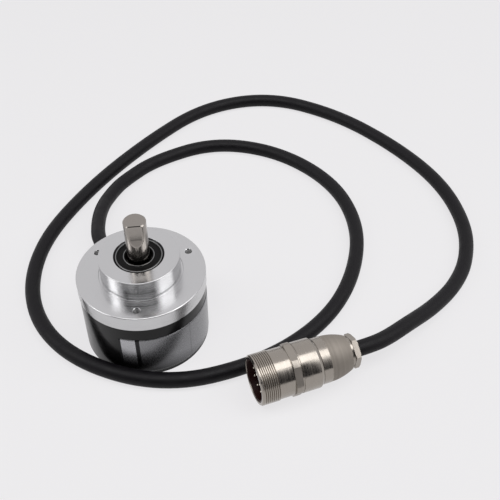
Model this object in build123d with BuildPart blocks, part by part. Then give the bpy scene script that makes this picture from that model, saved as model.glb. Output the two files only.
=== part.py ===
"""Incremental rotary encoder with a clamping flange, a radial cable outlet and a round connector.

Millimetres. The origin is the centre of the cover's rear face, +Z runs along the shaft towards
its tip, +X goes through a flange hole and +Y along the cable outlet. The encoder stands on its
rear face and the cable and connector lie on the same surface, z = 0.
"""
from build123d import *
from math import cos, degrees, pi, radians, sin, tan
import os

os.makedirs("parts", exist_ok=True)

# Cover
cover_wall = 1.7
cover_floor = 2.0
cover_edge = 1.0
cover_margin = 3.5
cover_step = 0.3

# Flange and its pilot
flange_thickness = 7.5
flange_edge = 0.5
pilot_radius = 18.0
pilot_height = 10.0
pilot_edge = 0.3
pilot_bore_edge = 0.6
relief_width = 0.9
relief_depth = 0.4
spigot_clearance = 0.1
spigot_length = 4.2
spigot_width = 5.9
spigot_lead = 0.4
bearing_wall = 3.0
bearing_skirt = 1.0
bearing_step = 0.9

# Tapped holes in the flange, drawn at the thread's outer radius
mount_hole_radius = 1.5
mount_circle_inset = 5.0
mount_hole_depth = 6.0
mount_hole_chamfer = 0.25
mount_hole_count = 3
countersink_angle = 82

# Seal between cover and flange
cover_seal_cord = 1.4
cover_seal_room = 1.7
cover_seal_play = 0.15
cover_seal_place = 1.1

# Ball bearings, 12 x 21 x 5 with a seal on each side
bearing_bore_radius = 6.0
bearing_section = 4.5
bearing_width = 5.0
bearing_recess = 0.2
bearing_spacing = 10.2
bearing_chamfer = 0.3
ring_share = 0.3
inner_land_step = 0.4
seal_seat_step = 0.75
seal_recess = 0.15
seal_thickness = 0.7
seal_running_gap = 0.08
ball_share = 0.2645
ball_count = 8
race_clearance = 0.03
cage_wall = 0.5
cage_back = 0.25
cage_lip = 0.6
cage_pocket_clearance = 0.08

# Retaining parts
washer_thickness = 0.4
bore_ring_thickness = 1.0
groove_clearance = 0.05
groove_depth = 0.6
bore_ring_width = 1.6
bore_ring_gap = 3.0
bore_ear_radius = 1.25
shaft_ring_width = 1.8
shaft_ring_gap = 2.0
shaft_ear_radius = 1.1
shaft_groove_depth = 0.4
ear_hole_share = 0.45

# Shaft
shaft_radius = 5.0
shaft_length = 20.0
shaft_chamfer = 0.6
shaft_seat_step = 2.0
shaft_collar_step = 0.05
shaft_tail_radius = 4.0
shaft_tail_below_disc = 1.8
tail_chamfer = 0.3
shaft_seat_below_ring = 0.9
flat_depth = 1.15
flat_length = 8.0
flat_angle = -115.0

# Code disc and its hub
disc_margin = 1.1
disc_thickness = 0.8
disc_above_board = 4.2
disc_bore = 6.5
slot_count = 48
slot_length = 2.8
slot_share = 0.5
index_gap = 1.0
index_length = 1.8
index_width = 1.0
hub_radius = 8.0
hub_plate_radius = 11.0
hub_plate_thickness = 1.0
hub_gap = 0.5
hub_length = 6.3
clamp_radius = 10.0
clamp_thickness = 0.9
grub_radius = 1.5
grub_length = 3.2
grub_count = 2
grub_socket = 0.7
clamp_screw_circle = 8.4
clamp_screw_radius = 0.6
clamp_screw_head = 1.1
clamp_screw_head_height = 0.9
clamp_screw_count = 3

# Circuit board and what stands on it
board_clearance = 1.0
board_room = 11.0
board_thickness = 1.6
board_gland_gap = 3.5
board_cable_gap = 1.0
board_hole = 3.2
standoff_corner = 2.6
standoff_clearance = 1.4
standoff_angle = 30.0
standoff_count = 3
stud_radius = 1.25
stud_length = 3.0
stud_play = 0.3
screw_head_radius = 2.4
screw_length = 7.0
screw_socket = 0.8
screw_socket_depth = 0.9
chip_height = 1.4
optics_angle = 210.0
sensor_length = 6.0
sensor_width = 3.4
sensor_height = 1.0
mask_length = 9.0
mask_width = 5.6
mask_thickness = 0.6
mask_gap = 0.6
mask_wall = 1.0
mask_slot_count = 3
mask_slot_width = 0.8
mask_slot_pitch = 1.6
header_width = 9.0
header_depth = 4.0
header_height = 4.6
board_chip_places = [(10, -8, 7, 7), (-5, 10, 6, 4), (12, 4, 3, 5), (3, -15, 5, 3)]

# Light source under the flange
lamp_length = 9.0
lamp_width = 6.4
lamp_gap = 1.0
lamp_clearance = 0.3
lens_radius = 2.3
lens_dome = 1.1
lens_seat = 1.5
die_height = 1.0
lamp_wall = 0.9
die_size = 1.6
lead_radius = 0.2
lead_offset = 3.15
lead_pitch = 2.5

# Cable
cable_radius = 3.7
cable_clearance = 0.4
tail_length = 22.5
core_radius = 0.55
core_pitch = 1.6
core_columns = 4
core_length = 3.5

# Cable outlet in the cover
outlet_drop = 1.0
outlet_boss_radius = 8.2
outlet_boss_height = 0.7
outlet_hole = 6.0
outlet_inner_boss = 2.0
outlet_inner_height = 17.0

# Cable gland
gland_hex = 14.0
gland_hex_length = 3.4
gland_thread_radius = 5.9
gland_thread_inside = 3.0
gland_neck_radius = 5.4
gland_neck_length = 5.0
gland_neck_wall = 0.8
gland_nut_gap = 0.6
gland_nut_beyond = 4.2
gland_nut_dome = 2.0
gland_nut_face = 4.5
gland_seal_length = 4.4
gland_ring_width = 0.8
gland_ring_depth = 0.7
lock_nut_thickness = 2.4

# Label on the cover
label_thickness = 0.12
label_bottom = 1.4
label_margin = 6.7
label_start = 221.0
label_sweep = 134.0

# Round connector, sizes along its axis from the open front
connector_front = (21.65, -61.47, 12.2)
connector_heading = -10.4
insert_radius = 8.8
shell_lip = 1.0
shell_wall = 1.6
thread_length = 8.4
undercut_depth = 0.35
front_chamfer = 0.6
shell_length = 15.5
shell_tail_wall = 1.1
shell_tail_end = 24.0
collar_rise = 0.8
collar_length = 3.3
collar_flat_cut = 0.9
collar_turn = 58.0
collar_edge = 0.3
groove_cut = 0.3
groove_width = 0.7
barrel_wall = 1.5
barrel_end = 29.2
barrel_taper = 1.0
barrel_taper_length = 1.4
barrel_rear_wall = 2.4
backshell_lip_step = 0.9
backshell_lip_length = 4.1
backshell_step = 1.05
backshell_rear_radius = 7.9
backshell_bulge = 0.65
backshell_end = 44.4
backshell_spigot = 4.0
backshell_bore = 6.4
seal_step = 32.5
seal_step_bore = 5.2
backshell_wall = 1.6
clamp_neck_radius = 6.7
clamp_neck_length = 1.3
clamp_hex = 13.8
clamp_hex_turn = 35.0
clamp_end = 48.2
clamp_chamfer = 0.6
insert_face = 8.2
insert_end = 20.0
insert_shoulder = 1.2
skirt_wall = 0.8
skirt_start = 1.1
pin_radius = 0.5
pin_tip = 2.2
pin_outer_circle = 6.3
pin_outer_count = 9
pin_inner_circle = 2.6
pin_inner_count = 3
key_width = 1.6
key_depth = 0.7
key_start = 1.5
pin_start = 5.0
connector_tail_start = 29.0
collet_length = 3.0
collet_slots = 6
collet_slot_width = 0.8
connector_seal_length = 4.0

# Cable route from the gland's end to the connector's end, chosen by hand
cable_level = cable_radius
bend_share = 0.45
cable_route = [
    (0, 42, 12), (0, 51.7, 12), (2.3, 63.2, 10.6), (12.4, 82.6, 7.4), (25.8, 95.8, 4.6),
    (35.5, 102.1, cable_level), (58.2, 109.5, cable_level), (96, 106.5, cable_level),
    (124, 79, cable_level),
    (135, 39, cable_level), (125.5, 2, cable_level), (101, -27, cable_level),
    (71, -44.5, cable_level), (33, -49.5, cable_level), (-11, -38, cable_level),
    (-41, -1.5, cable_level), (-45.5, 38, cable_level), (-26, 76, cable_level),
    (13, 104.5, cable_level), (60, 127, cable_level), (107.5, 142, cable_level),
    (149.5, 130, cable_level), (174.5, 92.5, cable_level), (185.5, 48, cable_level),
    (186.5, 7.5, cable_level), (175, -26, cable_level), (158, -46.6, cable_level),
    (140.5, -57.7, cable_level), (120.5, -64.5, 5.5), (101, -68.7, 9.3), (86.2, -71.7, 11.5),
    (76.93, -71.61, 12.2), (69.06, -70.17, 12.2),
]

# Levels, stacked up from the rear face
board_level = cover_floor + board_room
board_high = board_level + board_thickness
outlet_level = board_level - outlet_drop
disc_level = board_high + disc_above_board
disc_high = disc_level + disc_thickness
shaft_tail_end = disc_level - shaft_tail_below_disc
shaft_seat_end = disc_high + hub_length
bore_ring_low = shaft_seat_end + shaft_seat_below_ring
bearing_skirt_end = bore_ring_low - bearing_skirt
rear_bearing_low = bore_ring_low + bore_ring_thickness
rear_bearing_high = rear_bearing_low + bearing_width
rear_shoulder = rear_bearing_high + washer_thickness
front_bearing_low = rear_bearing_high + bearing_spacing
pilot_top = front_bearing_low + bearing_width + bearing_recess
flange_top = pilot_top - pilot_height
cover_height = flange_top - flange_thickness
shaft_tip = pilot_top + shaft_length
spigot_low = cover_height - spigot_length
seal_groove_high = cover_height - cover_seal_place
label_top = cover_height - label_margin

# Radii, from the bearing out to the flange
bearing_radius = bearing_bore_radius + bearing_section
inner_ring_radius = bearing_bore_radius + ring_share * bearing_section
inner_land_radius = inner_ring_radius - inner_land_step
outer_ring_bore = bearing_radius - ring_share * bearing_section
seal_seat_radius = outer_ring_bore + seal_seat_step
pitch_radius = (inner_ring_radius + outer_ring_bore) / 2
ball_radius = ball_share * bearing_section
race_radius = ball_radius + race_clearance
shaft_collar_radius = inner_land_radius - shaft_collar_step
bearing_shoulder = bearing_radius - bearing_step
bearing_hub_radius = bearing_radius + bearing_wall
optics_radius = bearing_hub_radius + lamp_clearance + lamp_width / 2
slot_inner = optics_radius - slot_length / 2
slot_outer = optics_radius + slot_length / 2
index_outer = slot_inner - index_gap
index_inner = index_outer - index_length
disc_radius = slot_outer + disc_margin
standoff_circle = disc_radius + standoff_clearance + standoff_corner
cover_bore = standoff_circle + cover_margin
cover_radius = cover_bore + cover_wall
flange_radius = cover_radius + cover_step
mount_circle_radius = flange_radius - mount_circle_inset
spigot_radius = cover_bore - spigot_clearance
spigot_bore = spigot_radius - spigot_width
seal_groove_radius = cover_bore - cover_seal_cord
board_radius = cover_bore - board_clearance

# Radii of the connector, from the insert out to the collar
shell_bore = insert_radius + shell_lip
skirt_bore = shell_bore - skirt_wall
thread_radius = shell_bore + shell_wall
thread_undercut = thread_radius - undercut_depth
shell_tail_radius = insert_radius + shell_tail_wall
barrel_radius = shell_tail_radius + barrel_wall
groove_radius = barrel_radius - groove_cut
collar_radius = barrel_radius + collar_rise
barrel_rear_bore = barrel_radius - barrel_rear_wall
backshell_lip_radius = barrel_radius - backshell_lip_step
backshell_front_radius = barrel_radius - backshell_step

# Places along the cable outlet
outlet_inner_face = cover_bore - outlet_inner_boss
outlet_face = cover_radius + outlet_boss_height
gland_start = outlet_inner_face - gland_thread_inside
gland_neck = outlet_face + gland_hex_length
gland_neck_end = gland_neck + gland_neck_length
gland_nut_end = gland_neck_end + gland_nut_beyond
cable_rear = gland_nut_end - tail_length
board_cut = min(gland_start - board_gland_gap, cable_rear - board_cable_gap)
connector_direction = Vector(cos(radians(connector_heading)), sin(radians(connector_heading)), 0)


def finish(piece, label):
    """Label a finished piece and write it to its own file."""
    piece.part.label = label
    export_step(piece.part, f"parts/{label}.step")


def turn(*outline, plane=Plane.XZ, axis=Axis.Z, arc=360, mode=Mode.ADD):
    """Add the solid that a closed outline makes as it turns about the axis."""
    with BuildSketch(plane) as section:
        with BuildLine():
            Polyline(*outline, close=True)
        make_face()
    revolve(section.sketch, axis=axis, revolution_arc=arc, mode=mode)


def band(inner, outer, low, high):
    """The outline of a plain ring: two radii and two levels."""
    return [(inner, low), (outer, low), (outer, high), (inner, high)]


def polar(radius, angle):
    """A point in the XY plane from its radius and angle."""
    return (radius * cos(radians(angle)), radius * sin(radians(angle)))


# Housing flange

with BuildPart() as flange:
    turn(
        (bearing_shoulder, rear_shoulder), (bearing_shoulder, front_bearing_low),
        (bearing_radius, front_bearing_low), (bearing_radius, pilot_top - pilot_bore_edge),
        (bearing_radius + pilot_bore_edge, pilot_top), (pilot_radius - pilot_edge, pilot_top),
        (pilot_radius, pilot_top - pilot_edge), (pilot_radius, flange_top - relief_depth),
        (pilot_radius + relief_width, flange_top - relief_depth),
        (pilot_radius + relief_width, flange_top), (flange_radius - flange_edge, flange_top),
        (flange_radius, flange_top - flange_edge), (flange_radius, cover_height),
        (spigot_radius, cover_height), (spigot_radius, seal_groove_high),
        (seal_groove_radius, seal_groove_high),
        (seal_groove_radius, seal_groove_high - cover_seal_room),
        (spigot_radius, seal_groove_high - cover_seal_room),
        (spigot_radius, spigot_low + spigot_lead), (spigot_radius - spigot_lead, spigot_low),
        (spigot_bore, spigot_low), (spigot_bore, cover_height),
        (bearing_hub_radius, cover_height), (bearing_hub_radius, bearing_skirt_end),
        (bearing_radius, bearing_skirt_end), (bearing_radius, bore_ring_low - groove_clearance),
        (bearing_radius + groove_depth, bore_ring_low - groove_clearance),
        (bearing_radius + groove_depth, rear_bearing_low),
        (bearing_radius, rear_bearing_low), (bearing_radius, rear_shoulder),
    )
    with Locations(Plane.XY.offset(flange_top)):
        with PolarLocations(mount_circle_radius, mount_hole_count):
            CounterSinkHole(
                mount_hole_radius, mount_hole_radius + mount_hole_chamfer, mount_hole_depth,
                countersink_angle,
            )
    with Locations(Plane.XY.offset(spigot_low)):
        with PolarLocations(standoff_circle, standoff_count, standoff_angle):
            Cylinder(
                stud_radius, stud_length, mode=Mode.SUBTRACT,
                align=(Align.CENTER, Align.CENTER, Align.MIN),
            )
finish(flange, "flange")

# Cover with its cable outlet

outlet_plane = Plane(origin=(0, 0, outlet_level), x_dir=(1, 0, 0), z_dir=(0, 1, 0))

with BuildPart() as cover:
    with BuildSketch():
        Circle(cover_radius)
    extrude(amount=cover_height)
    fillet(cover.faces().sort_by(Axis.Z)[0].edges(), cover_edge)
    with BuildSketch(outlet_plane.offset(outlet_inner_face)):
        Circle(outlet_boss_radius)
    extrude(amount=outlet_face - outlet_inner_face)
    with BuildSketch(Plane.XY.offset(cover_floor)):
        Circle(cover_bore)
    extrude(amount=cover_height - cover_floor, mode=Mode.SUBTRACT)
    with BuildSketch(outlet_plane.offset(outlet_inner_face)):
        Rectangle(2 * outlet_boss_radius, outlet_inner_height)
    extrude(amount=cover_bore - outlet_inner_face)
    with BuildSketch(outlet_plane.offset(outlet_inner_face)):
        Circle(outlet_hole)
    extrude(amount=outlet_face - outlet_inner_face, mode=Mode.SUBTRACT)
    with Locations(Plane((0, 0, 0), x_dir=(1, 0, 0), z_dir=(0, 0, -1))):
        with PolarLocations(standoff_circle, standoff_count, -standoff_angle):
            CounterSinkHole(stud_radius, screw_head_radius, cover_floor, countersink_angle)
finish(cover, "cover")

# Seal between cover and flange

with BuildPart() as cover_seal:
    turn(*band(
        seal_groove_radius, cover_bore,
        seal_groove_high - cover_seal_room + cover_seal_play, seal_groove_high - cover_seal_play,
    ))
finish(cover_seal, "cover_seal")


# Bearings: the same parts twice, the front one in the pilot and the rear one under the flange

def make_bearing(name, low):
    """Make the pieces of one sealed ball bearing, from its lower face upwards."""
    high = low + bearing_width
    middle = (low + high) / 2
    seal_seat = seal_recess + seal_thickness
    land = seal_seat + seal_running_gap

    with BuildPart() as outer_ring:
        turn(
            (bearing_radius, low + bearing_chamfer), (bearing_radius, high - bearing_chamfer),
            (bearing_radius - bearing_chamfer, high), (seal_seat_radius, high),
            (seal_seat_radius, high - seal_seat), (outer_ring_bore, high - seal_seat),
            (outer_ring_bore, low + seal_seat), (seal_seat_radius, low + seal_seat),
            (seal_seat_radius, low), (bearing_radius - bearing_chamfer, low),
        )
        with BuildSketch(Plane.XZ):
            with Locations((pitch_radius, middle)):
                Circle(race_radius)
        revolve(axis=Axis.Z, mode=Mode.SUBTRACT)
    finish(outer_ring, f"{name}_bearing_outer_ring")

    with BuildPart() as inner_ring:
        turn(
            (bearing_bore_radius, low), (inner_land_radius, low), (inner_land_radius, low + land),
            (inner_ring_radius, low + land), (inner_ring_radius, high - land),
            (inner_land_radius, high - land), (inner_land_radius, high), (bearing_bore_radius, high),
        )
        with BuildSketch(Plane.XZ):
            with Locations((pitch_radius, middle)):
                Circle(race_radius)
        revolve(axis=Axis.Z, mode=Mode.SUBTRACT)
    finish(inner_ring, f"{name}_bearing_inner_ring")

    with BuildPart() as seals:
        for seal_low in (low + seal_recess, high - seal_seat):
            turn(*band(
                inner_land_radius + seal_running_gap, seal_seat_radius,
                seal_low, seal_low + seal_thickness,
            ))
    finish(seals, f"{name}_bearing_seals")

    with BuildPart() as balls:
        with Locations((0, 0, middle)):
            with PolarLocations(pitch_radius, ball_count):
                Sphere(ball_radius)
    finish(balls, f"{name}_bearing_balls")

    pocket = ball_radius + cage_pocket_clearance
    with BuildPart() as cage:
        turn(*band(
            pitch_radius - cage_wall, pitch_radius + cage_wall,
            middle - pocket - cage_back, middle + cage_lip,
        ))
        with Locations((0, 0, middle)):
            with PolarLocations(pitch_radius, ball_count):
                Sphere(pocket, mode=Mode.SUBTRACT)
    finish(cage, f"{name}_bearing_cage")


make_bearing("front", front_bearing_low)
make_bearing("rear", rear_bearing_low)

# Preload washer and retaining rings

with BuildPart() as preload_washer:
    turn(*band(
        bearing_shoulder, bearing_radius - groove_clearance, rear_bearing_high, rear_shoulder,
    ))
finish(preload_washer, "preload_washer")


def ring_ears(radius, ear_radius, gap):
    """Add the two eyes at the gap of a retaining ring and open the gap between them."""
    spread = degrees((gap / 2 + ear_radius) / radius)
    with Locations(polar(radius, spread), polar(radius, -spread)):
        Circle(ear_radius)
    with Locations(polar(radius, spread), polar(radius, -spread)):
        Circle(ear_radius * ear_hole_share, mode=Mode.SUBTRACT)
    with Locations((radius, 0)):
        Rectangle(4 * ear_radius, gap, mode=Mode.SUBTRACT)


bore_ring_outer = bearing_radius + groove_depth - groove_clearance
shaft_ring_inner = bearing_bore_radius - shaft_groove_depth + groove_clearance

with BuildPart() as bore_ring:
    with BuildSketch(Plane.XY.offset(bore_ring_low)):
        Circle(bore_ring_outer)
        Circle(bore_ring_outer - bore_ring_width, mode=Mode.SUBTRACT)
        ring_ears(bore_ring_outer - bore_ear_radius, bore_ear_radius, bore_ring_gap)
    extrude(amount=bore_ring_thickness)
finish(bore_ring, "bore_retaining_ring")

with BuildPart() as shaft_ring:
    with BuildSketch(Plane.XY.offset(bore_ring_low)):
        Circle(shaft_ring_inner + shaft_ring_width)
        Circle(shaft_ring_inner, mode=Mode.SUBTRACT)
        ring_ears(shaft_ring_inner + shaft_ear_radius, shaft_ear_radius, shaft_ring_gap)
    extrude(amount=bore_ring_thickness)
finish(shaft_ring, "shaft_retaining_ring")

# Shaft: plain end with a flat, collar between the bearings, tail for the disc hub

with BuildPart() as shaft:
    shaft_groove = bearing_bore_radius - shaft_groove_depth
    turn(
        (0, shaft_tail_end), (shaft_tail_radius - tail_chamfer, shaft_tail_end),
        (shaft_tail_radius, shaft_tail_end + tail_chamfer), (shaft_tail_radius, shaft_seat_end),
        (bearing_bore_radius, shaft_seat_end), (bearing_bore_radius, bore_ring_low - groove_clearance),
        (shaft_groove, bore_ring_low - groove_clearance), (shaft_groove, rear_bearing_low),
        (bearing_bore_radius, rear_bearing_low), (bearing_bore_radius, rear_bearing_high),
        (shaft_collar_radius, rear_bearing_high), (shaft_collar_radius, front_bearing_low),
        (bearing_bore_radius, front_bearing_low),
        (bearing_bore_radius, front_bearing_low + bearing_width - shaft_seat_step),
        (shaft_radius, front_bearing_low + bearing_width - shaft_seat_step),
        (shaft_radius, shaft_tip - shaft_chamfer), (shaft_radius - shaft_chamfer, shaft_tip),
        (0, shaft_tip),
    )
    with BuildSketch(Plane.XY.offset(shaft_tip - flat_length)):
        with PolarLocations(shaft_radius - flat_depth, 1, flat_angle):
            Rectangle(2 * flat_depth, 2 * shaft_radius, align=(Align.MIN, Align.CENTER))
    extrude(amount=flat_length, mode=Mode.SUBTRACT)
finish(shaft, "shaft")

# Code disc, its hub, clamp and screws

clamp_low = disc_level - clamp_thickness
hub_plate_high = disc_high + hub_plate_thickness
hub_high = shaft_seat_end - hub_gap
grub_level = (hub_plate_high + hub_high) / 2
grub_planes = [
    Plane(origin=(0, 0, grub_level), z_dir=(*polar(1, 90 * turn_index), 0))
    for turn_index in range(grub_count)
]

with BuildPart() as disc_hub:
    turn(
        (shaft_tail_radius, clamp_low), (disc_bore, clamp_low), (disc_bore, disc_high),
        (hub_plate_radius, disc_high), (hub_plate_radius, hub_plate_high),
        (hub_radius, hub_plate_high), (hub_radius, hub_high), (shaft_tail_radius, hub_high),
    )
    for grub_plane in grub_planes:
        with BuildSketch(grub_plane):
            Circle(grub_radius)
        extrude(amount=2 * hub_radius, mode=Mode.SUBTRACT)
    with BuildSketch(Plane.XY.offset(disc_high)):
        with PolarLocations(clamp_screw_circle, clamp_screw_count):
            Circle(clamp_screw_radius)
    extrude(amount=hub_plate_thickness, mode=Mode.SUBTRACT)
finish(disc_hub, "disc_hub")

with BuildPart() as hub_screws:
    for grub_plane in grub_planes:
        with BuildSketch(grub_plane.offset(shaft_tail_radius)):
            Circle(grub_radius)
        extrude(amount=grub_length)
        with BuildSketch(grub_plane.offset(shaft_tail_radius + grub_length)):
            RegularPolygon(grub_socket, 6)
        extrude(amount=-grub_length / 2, mode=Mode.SUBTRACT)
finish(hub_screws, "hub_screws")

with BuildPart() as code_disc:
    with BuildSketch(Plane.XY.offset(disc_level)):
        Circle(disc_radius)
        Circle(disc_bore, mode=Mode.SUBTRACT)
        with PolarLocations(optics_radius, slot_count):
            Rectangle(
                slot_length, 2 * pi * optics_radius / slot_count * slot_share,
                mode=Mode.SUBTRACT,
            )
        with PolarLocations((index_inner + index_outer) / 2, 1, optics_angle):
            Rectangle(index_length, index_width, mode=Mode.SUBTRACT)
        with PolarLocations(clamp_screw_circle, clamp_screw_count):
            Circle(clamp_screw_radius, mode=Mode.SUBTRACT)
    extrude(amount=disc_thickness)
finish(code_disc, "code_disc")

with BuildPart() as disc_clamp:
    with BuildSketch(Plane.XY.offset(clamp_low)):
        Circle(clamp_radius)
        Circle(disc_bore, mode=Mode.SUBTRACT)
        with PolarLocations(clamp_screw_circle, clamp_screw_count):
            Circle(clamp_screw_radius, mode=Mode.SUBTRACT)
    extrude(amount=clamp_thickness)
finish(disc_clamp, "disc_clamp")

with BuildPart() as clamp_screws:
    with BuildSketch(Plane.XY.offset(clamp_low)):
        with PolarLocations(clamp_screw_circle, clamp_screw_count):
            Circle(clamp_screw_radius)
    extrude(amount=clamp_thickness + disc_thickness + hub_plate_thickness)
    with BuildSketch(Plane.XY.offset(clamp_low)):
        with PolarLocations(clamp_screw_circle, clamp_screw_count):
            Circle(clamp_screw_head)
    extrude(amount=-clamp_screw_head_height)
finish(clamp_screws, "clamp_screws")

# Circuit board and its standoffs

with BuildPart() as circuit_board:
    with BuildSketch(Plane.XY.offset(board_level)):
        Circle(board_radius)
        with Locations((0, board_cut)):
            Rectangle(
                2 * board_radius, board_radius,
                align=(Align.CENTER, Align.MIN), mode=Mode.SUBTRACT,
            )
        Circle(board_hole, mode=Mode.SUBTRACT)
        with PolarLocations(standoff_circle, standoff_count, standoff_angle):
            Circle(stud_radius, mode=Mode.SUBTRACT)
    extrude(amount=board_thickness)
finish(circuit_board, "circuit_board")


def standoff_part(low, high, stud, bore):
    """Add hexagonal standoffs between two levels, each with a stud on top and a bore below."""
    spots = PolarLocations(standoff_circle, standoff_count, standoff_angle)
    with BuildSketch(Plane.XY.offset(low)) as body_section:
        with spots:
            RegularPolygon(standoff_corner, 6)
    extrude(body_section.sketch, amount=high - low)
    with BuildSketch(Plane.XY.offset(high)) as stud_section:
        with spots:
            Circle(stud_radius)
    extrude(stud_section.sketch, amount=stud)
    with BuildSketch(Plane.XY.offset(low)) as bore_section:
        with spots:
            Circle(stud_radius)
    extrude(bore_section.sketch, amount=bore, mode=Mode.SUBTRACT)


with BuildPart() as lower_standoffs:
    standoff_part(
        cover_floor, board_level, board_thickness + stud_length, screw_length + stud_play,
    )
finish(lower_standoffs, "lower_standoffs")

with BuildPart() as upper_standoffs:
    standoff_part(board_high, spigot_low, stud_length, stud_length + stud_play)
finish(upper_standoffs, "upper_standoffs")

screw_cone = (screw_head_radius - stud_radius) / tan(radians(countersink_angle / 2))
screw_end = cover_floor + screw_length

with BuildPart() as cover_screws:
    for screw_index in range(standoff_count):
        x, y = polar(standoff_circle, standoff_angle + 360 / standoff_count * screw_index)
        turn(
            (0, 0), (screw_head_radius, 0), (stud_radius, screw_cone), (stud_radius, screw_end),
            (0, screw_end),
            plane=Plane(origin=(x, y, 0), x_dir=(1, 0, 0), z_dir=(0, -1, 0)),
            axis=Axis((x, y, 0), (0, 0, 1)),
        )
    with BuildSketch():
        with PolarLocations(standoff_circle, standoff_count, standoff_angle):
            RegularPolygon(screw_socket, 6)
    extrude(amount=screw_socket_depth, mode=Mode.SUBTRACT)
finish(cover_screws, "cover_screws")

# Scanning optics: light source above the disc, mask and sensor below it

optics_spot = polar(optics_radius, optics_angle)
optics_plane = Plane(origin=(*optics_spot, 0), x_dir=(*polar(1, optics_angle), 0), z_dir=(0, 0, 1))
mask_low = disc_level - mask_gap - mask_thickness
lamp_low = disc_high + lamp_gap + lens_dome

with BuildPart() as sensor_chip:
    with BuildSketch(optics_plane.offset(board_high)):
        Rectangle(sensor_width, sensor_length)
    extrude(amount=sensor_height)
finish(sensor_chip, "sensor_chip")

with BuildPart() as mask_holder:
    with BuildSketch(optics_plane.offset(board_high)):
        Rectangle(mask_width, mask_length)
        Rectangle(mask_width - 2 * mask_wall, mask_length - 2 * mask_wall, mode=Mode.SUBTRACT)
    extrude(amount=mask_low - board_high)
finish(mask_holder, "mask_holder")

with BuildPart() as scanning_mask:
    with BuildSketch(optics_plane.offset(mask_low)):
        Rectangle(mask_width, mask_length)
        with GridLocations(0, mask_slot_pitch, 1, mask_slot_count):
            Rectangle(slot_length, mask_slot_width, mode=Mode.SUBTRACT)
    extrude(amount=mask_thickness)
finish(scanning_mask, "scanning_mask")

with BuildPart() as lamp_housing:
    with BuildSketch(optics_plane.offset(lamp_low)):
        Rectangle(lamp_width, lamp_length)
    extrude(amount=cover_height - lamp_low)
    with BuildSketch(optics_plane.offset(lamp_low)):
        Circle(lens_radius)
    extrude(amount=lens_seat, mode=Mode.SUBTRACT)
    with BuildSketch(optics_plane.offset(lamp_low + lens_seat)):
        Circle(lens_radius - lamp_wall)
    extrude(amount=die_height, mode=Mode.SUBTRACT)
finish(lamp_housing, "lamp_housing")

with BuildPart() as lamp_lens:
    with BuildSketch(optics_plane.offset(lamp_low - lens_dome)):
        Circle(lens_radius)
    extrude(amount=lens_dome + lens_seat)
    fillet(lamp_lens.faces().sort_by(Axis.Z)[0].edges(), lens_dome)
finish(lamp_lens, "lamp_lens")

with BuildPart() as lamp_die:
    with BuildSketch(optics_plane.offset(lamp_low + lens_seat)):
        Rectangle(die_size, die_size)
    extrude(amount=die_height)
finish(lamp_die, "lamp_die")

with BuildPart() as lamp_leads:
    with BuildSketch(optics_plane.offset(board_high)):
        with Locations((lead_offset, 0)):
            with GridLocations(0, lead_pitch, 1, 2):
                Circle(lead_radius)
    extrude(amount=lamp_low - board_high)
finish(lamp_leads, "lamp_leads")

with BuildPart() as board_chips:
    for x, y, width, depth in board_chip_places:
        with BuildSketch(Plane.XY.offset(board_high)) as chip_outline:
            with Locations((x, y)):
                Rectangle(width, depth)
        extrude(chip_outline.sketch, amount=chip_height)
finish(board_chips, "board_chips")

# Cable end inside the encoder: header, cores and sheath

header_rear = cable_rear - core_length

with BuildPart() as wire_header:
    with BuildSketch(Plane.XY.offset(board_level)):
        with Locations((0, header_rear)):
            Rectangle(header_width, header_depth, align=(Align.CENTER, Align.MAX))
    extrude(amount=-header_height)
finish(wire_header, "wire_header")

with BuildPart() as encoder_cores:
    with BuildSketch(outlet_plane.offset(header_rear)):
        with Locations((0, core_pitch / 2)):
            with GridLocations(core_pitch, core_pitch, core_columns, 2):
                Circle(core_radius)
    extrude(amount=core_length)
finish(encoder_cores, "encoder_cores")

with BuildPart() as encoder_cable_end:
    with BuildSketch(outlet_plane.offset(header_rear + core_length)):
        Circle(cable_radius)
    extrude(amount=tail_length)
finish(encoder_cable_end, "encoder_cable_end")

# Cable gland

outlet_section = Plane(origin=(0, 0, outlet_level), x_dir=(0, 1, 0), z_dir=(1, 0, 0))
outlet_axis = Axis((0, 0, outlet_level), (0, 1, 0))
cable_hole = cable_radius + cable_clearance
gland_corner = gland_hex / 2 / cos(radians(30))
gland_neck_bore = gland_neck_radius - gland_neck_wall

with BuildPart() as gland_body:
    with BuildSketch(outlet_plane.offset(outlet_face)):
        RegularPolygon(gland_corner, 6)
    extrude(amount=gland_hex_length)
    turn(
        (gland_start, 0), (gland_start, gland_thread_radius), (outlet_face, gland_thread_radius),
        (outlet_face, gland_neck_radius), (gland_neck_end, gland_neck_radius), (gland_neck_end, 0),
        plane=outlet_section, axis=outlet_axis,
    )
    turn(
        (gland_start, 0), (gland_start, cable_hole), (gland_neck, cable_hole),
        (gland_neck, gland_neck_bore), (gland_neck_end, gland_neck_bore), (gland_neck_end, 0),
        plane=outlet_section, axis=outlet_axis, mode=Mode.SUBTRACT,
    )
    turn(
        (outlet_face, gland_thread_radius), (outlet_face, gland_thread_radius + gland_ring_width),
        (outlet_face + gland_ring_depth, gland_thread_radius + gland_ring_width),
        (outlet_face + gland_ring_depth, gland_thread_radius),
        plane=outlet_section, axis=outlet_axis, mode=Mode.SUBTRACT,
    )
finish(gland_body, "gland_body")

with BuildPart() as gland_ring:
    turn(
        (outlet_face, outlet_hole), (outlet_face, gland_thread_radius + gland_ring_width),
        (outlet_face + gland_ring_depth, gland_thread_radius + gland_ring_width),
        (outlet_face + gland_ring_depth, outlet_hole),
        plane=outlet_section, axis=outlet_axis,
    )
finish(gland_ring, "gland_o_ring")

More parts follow.
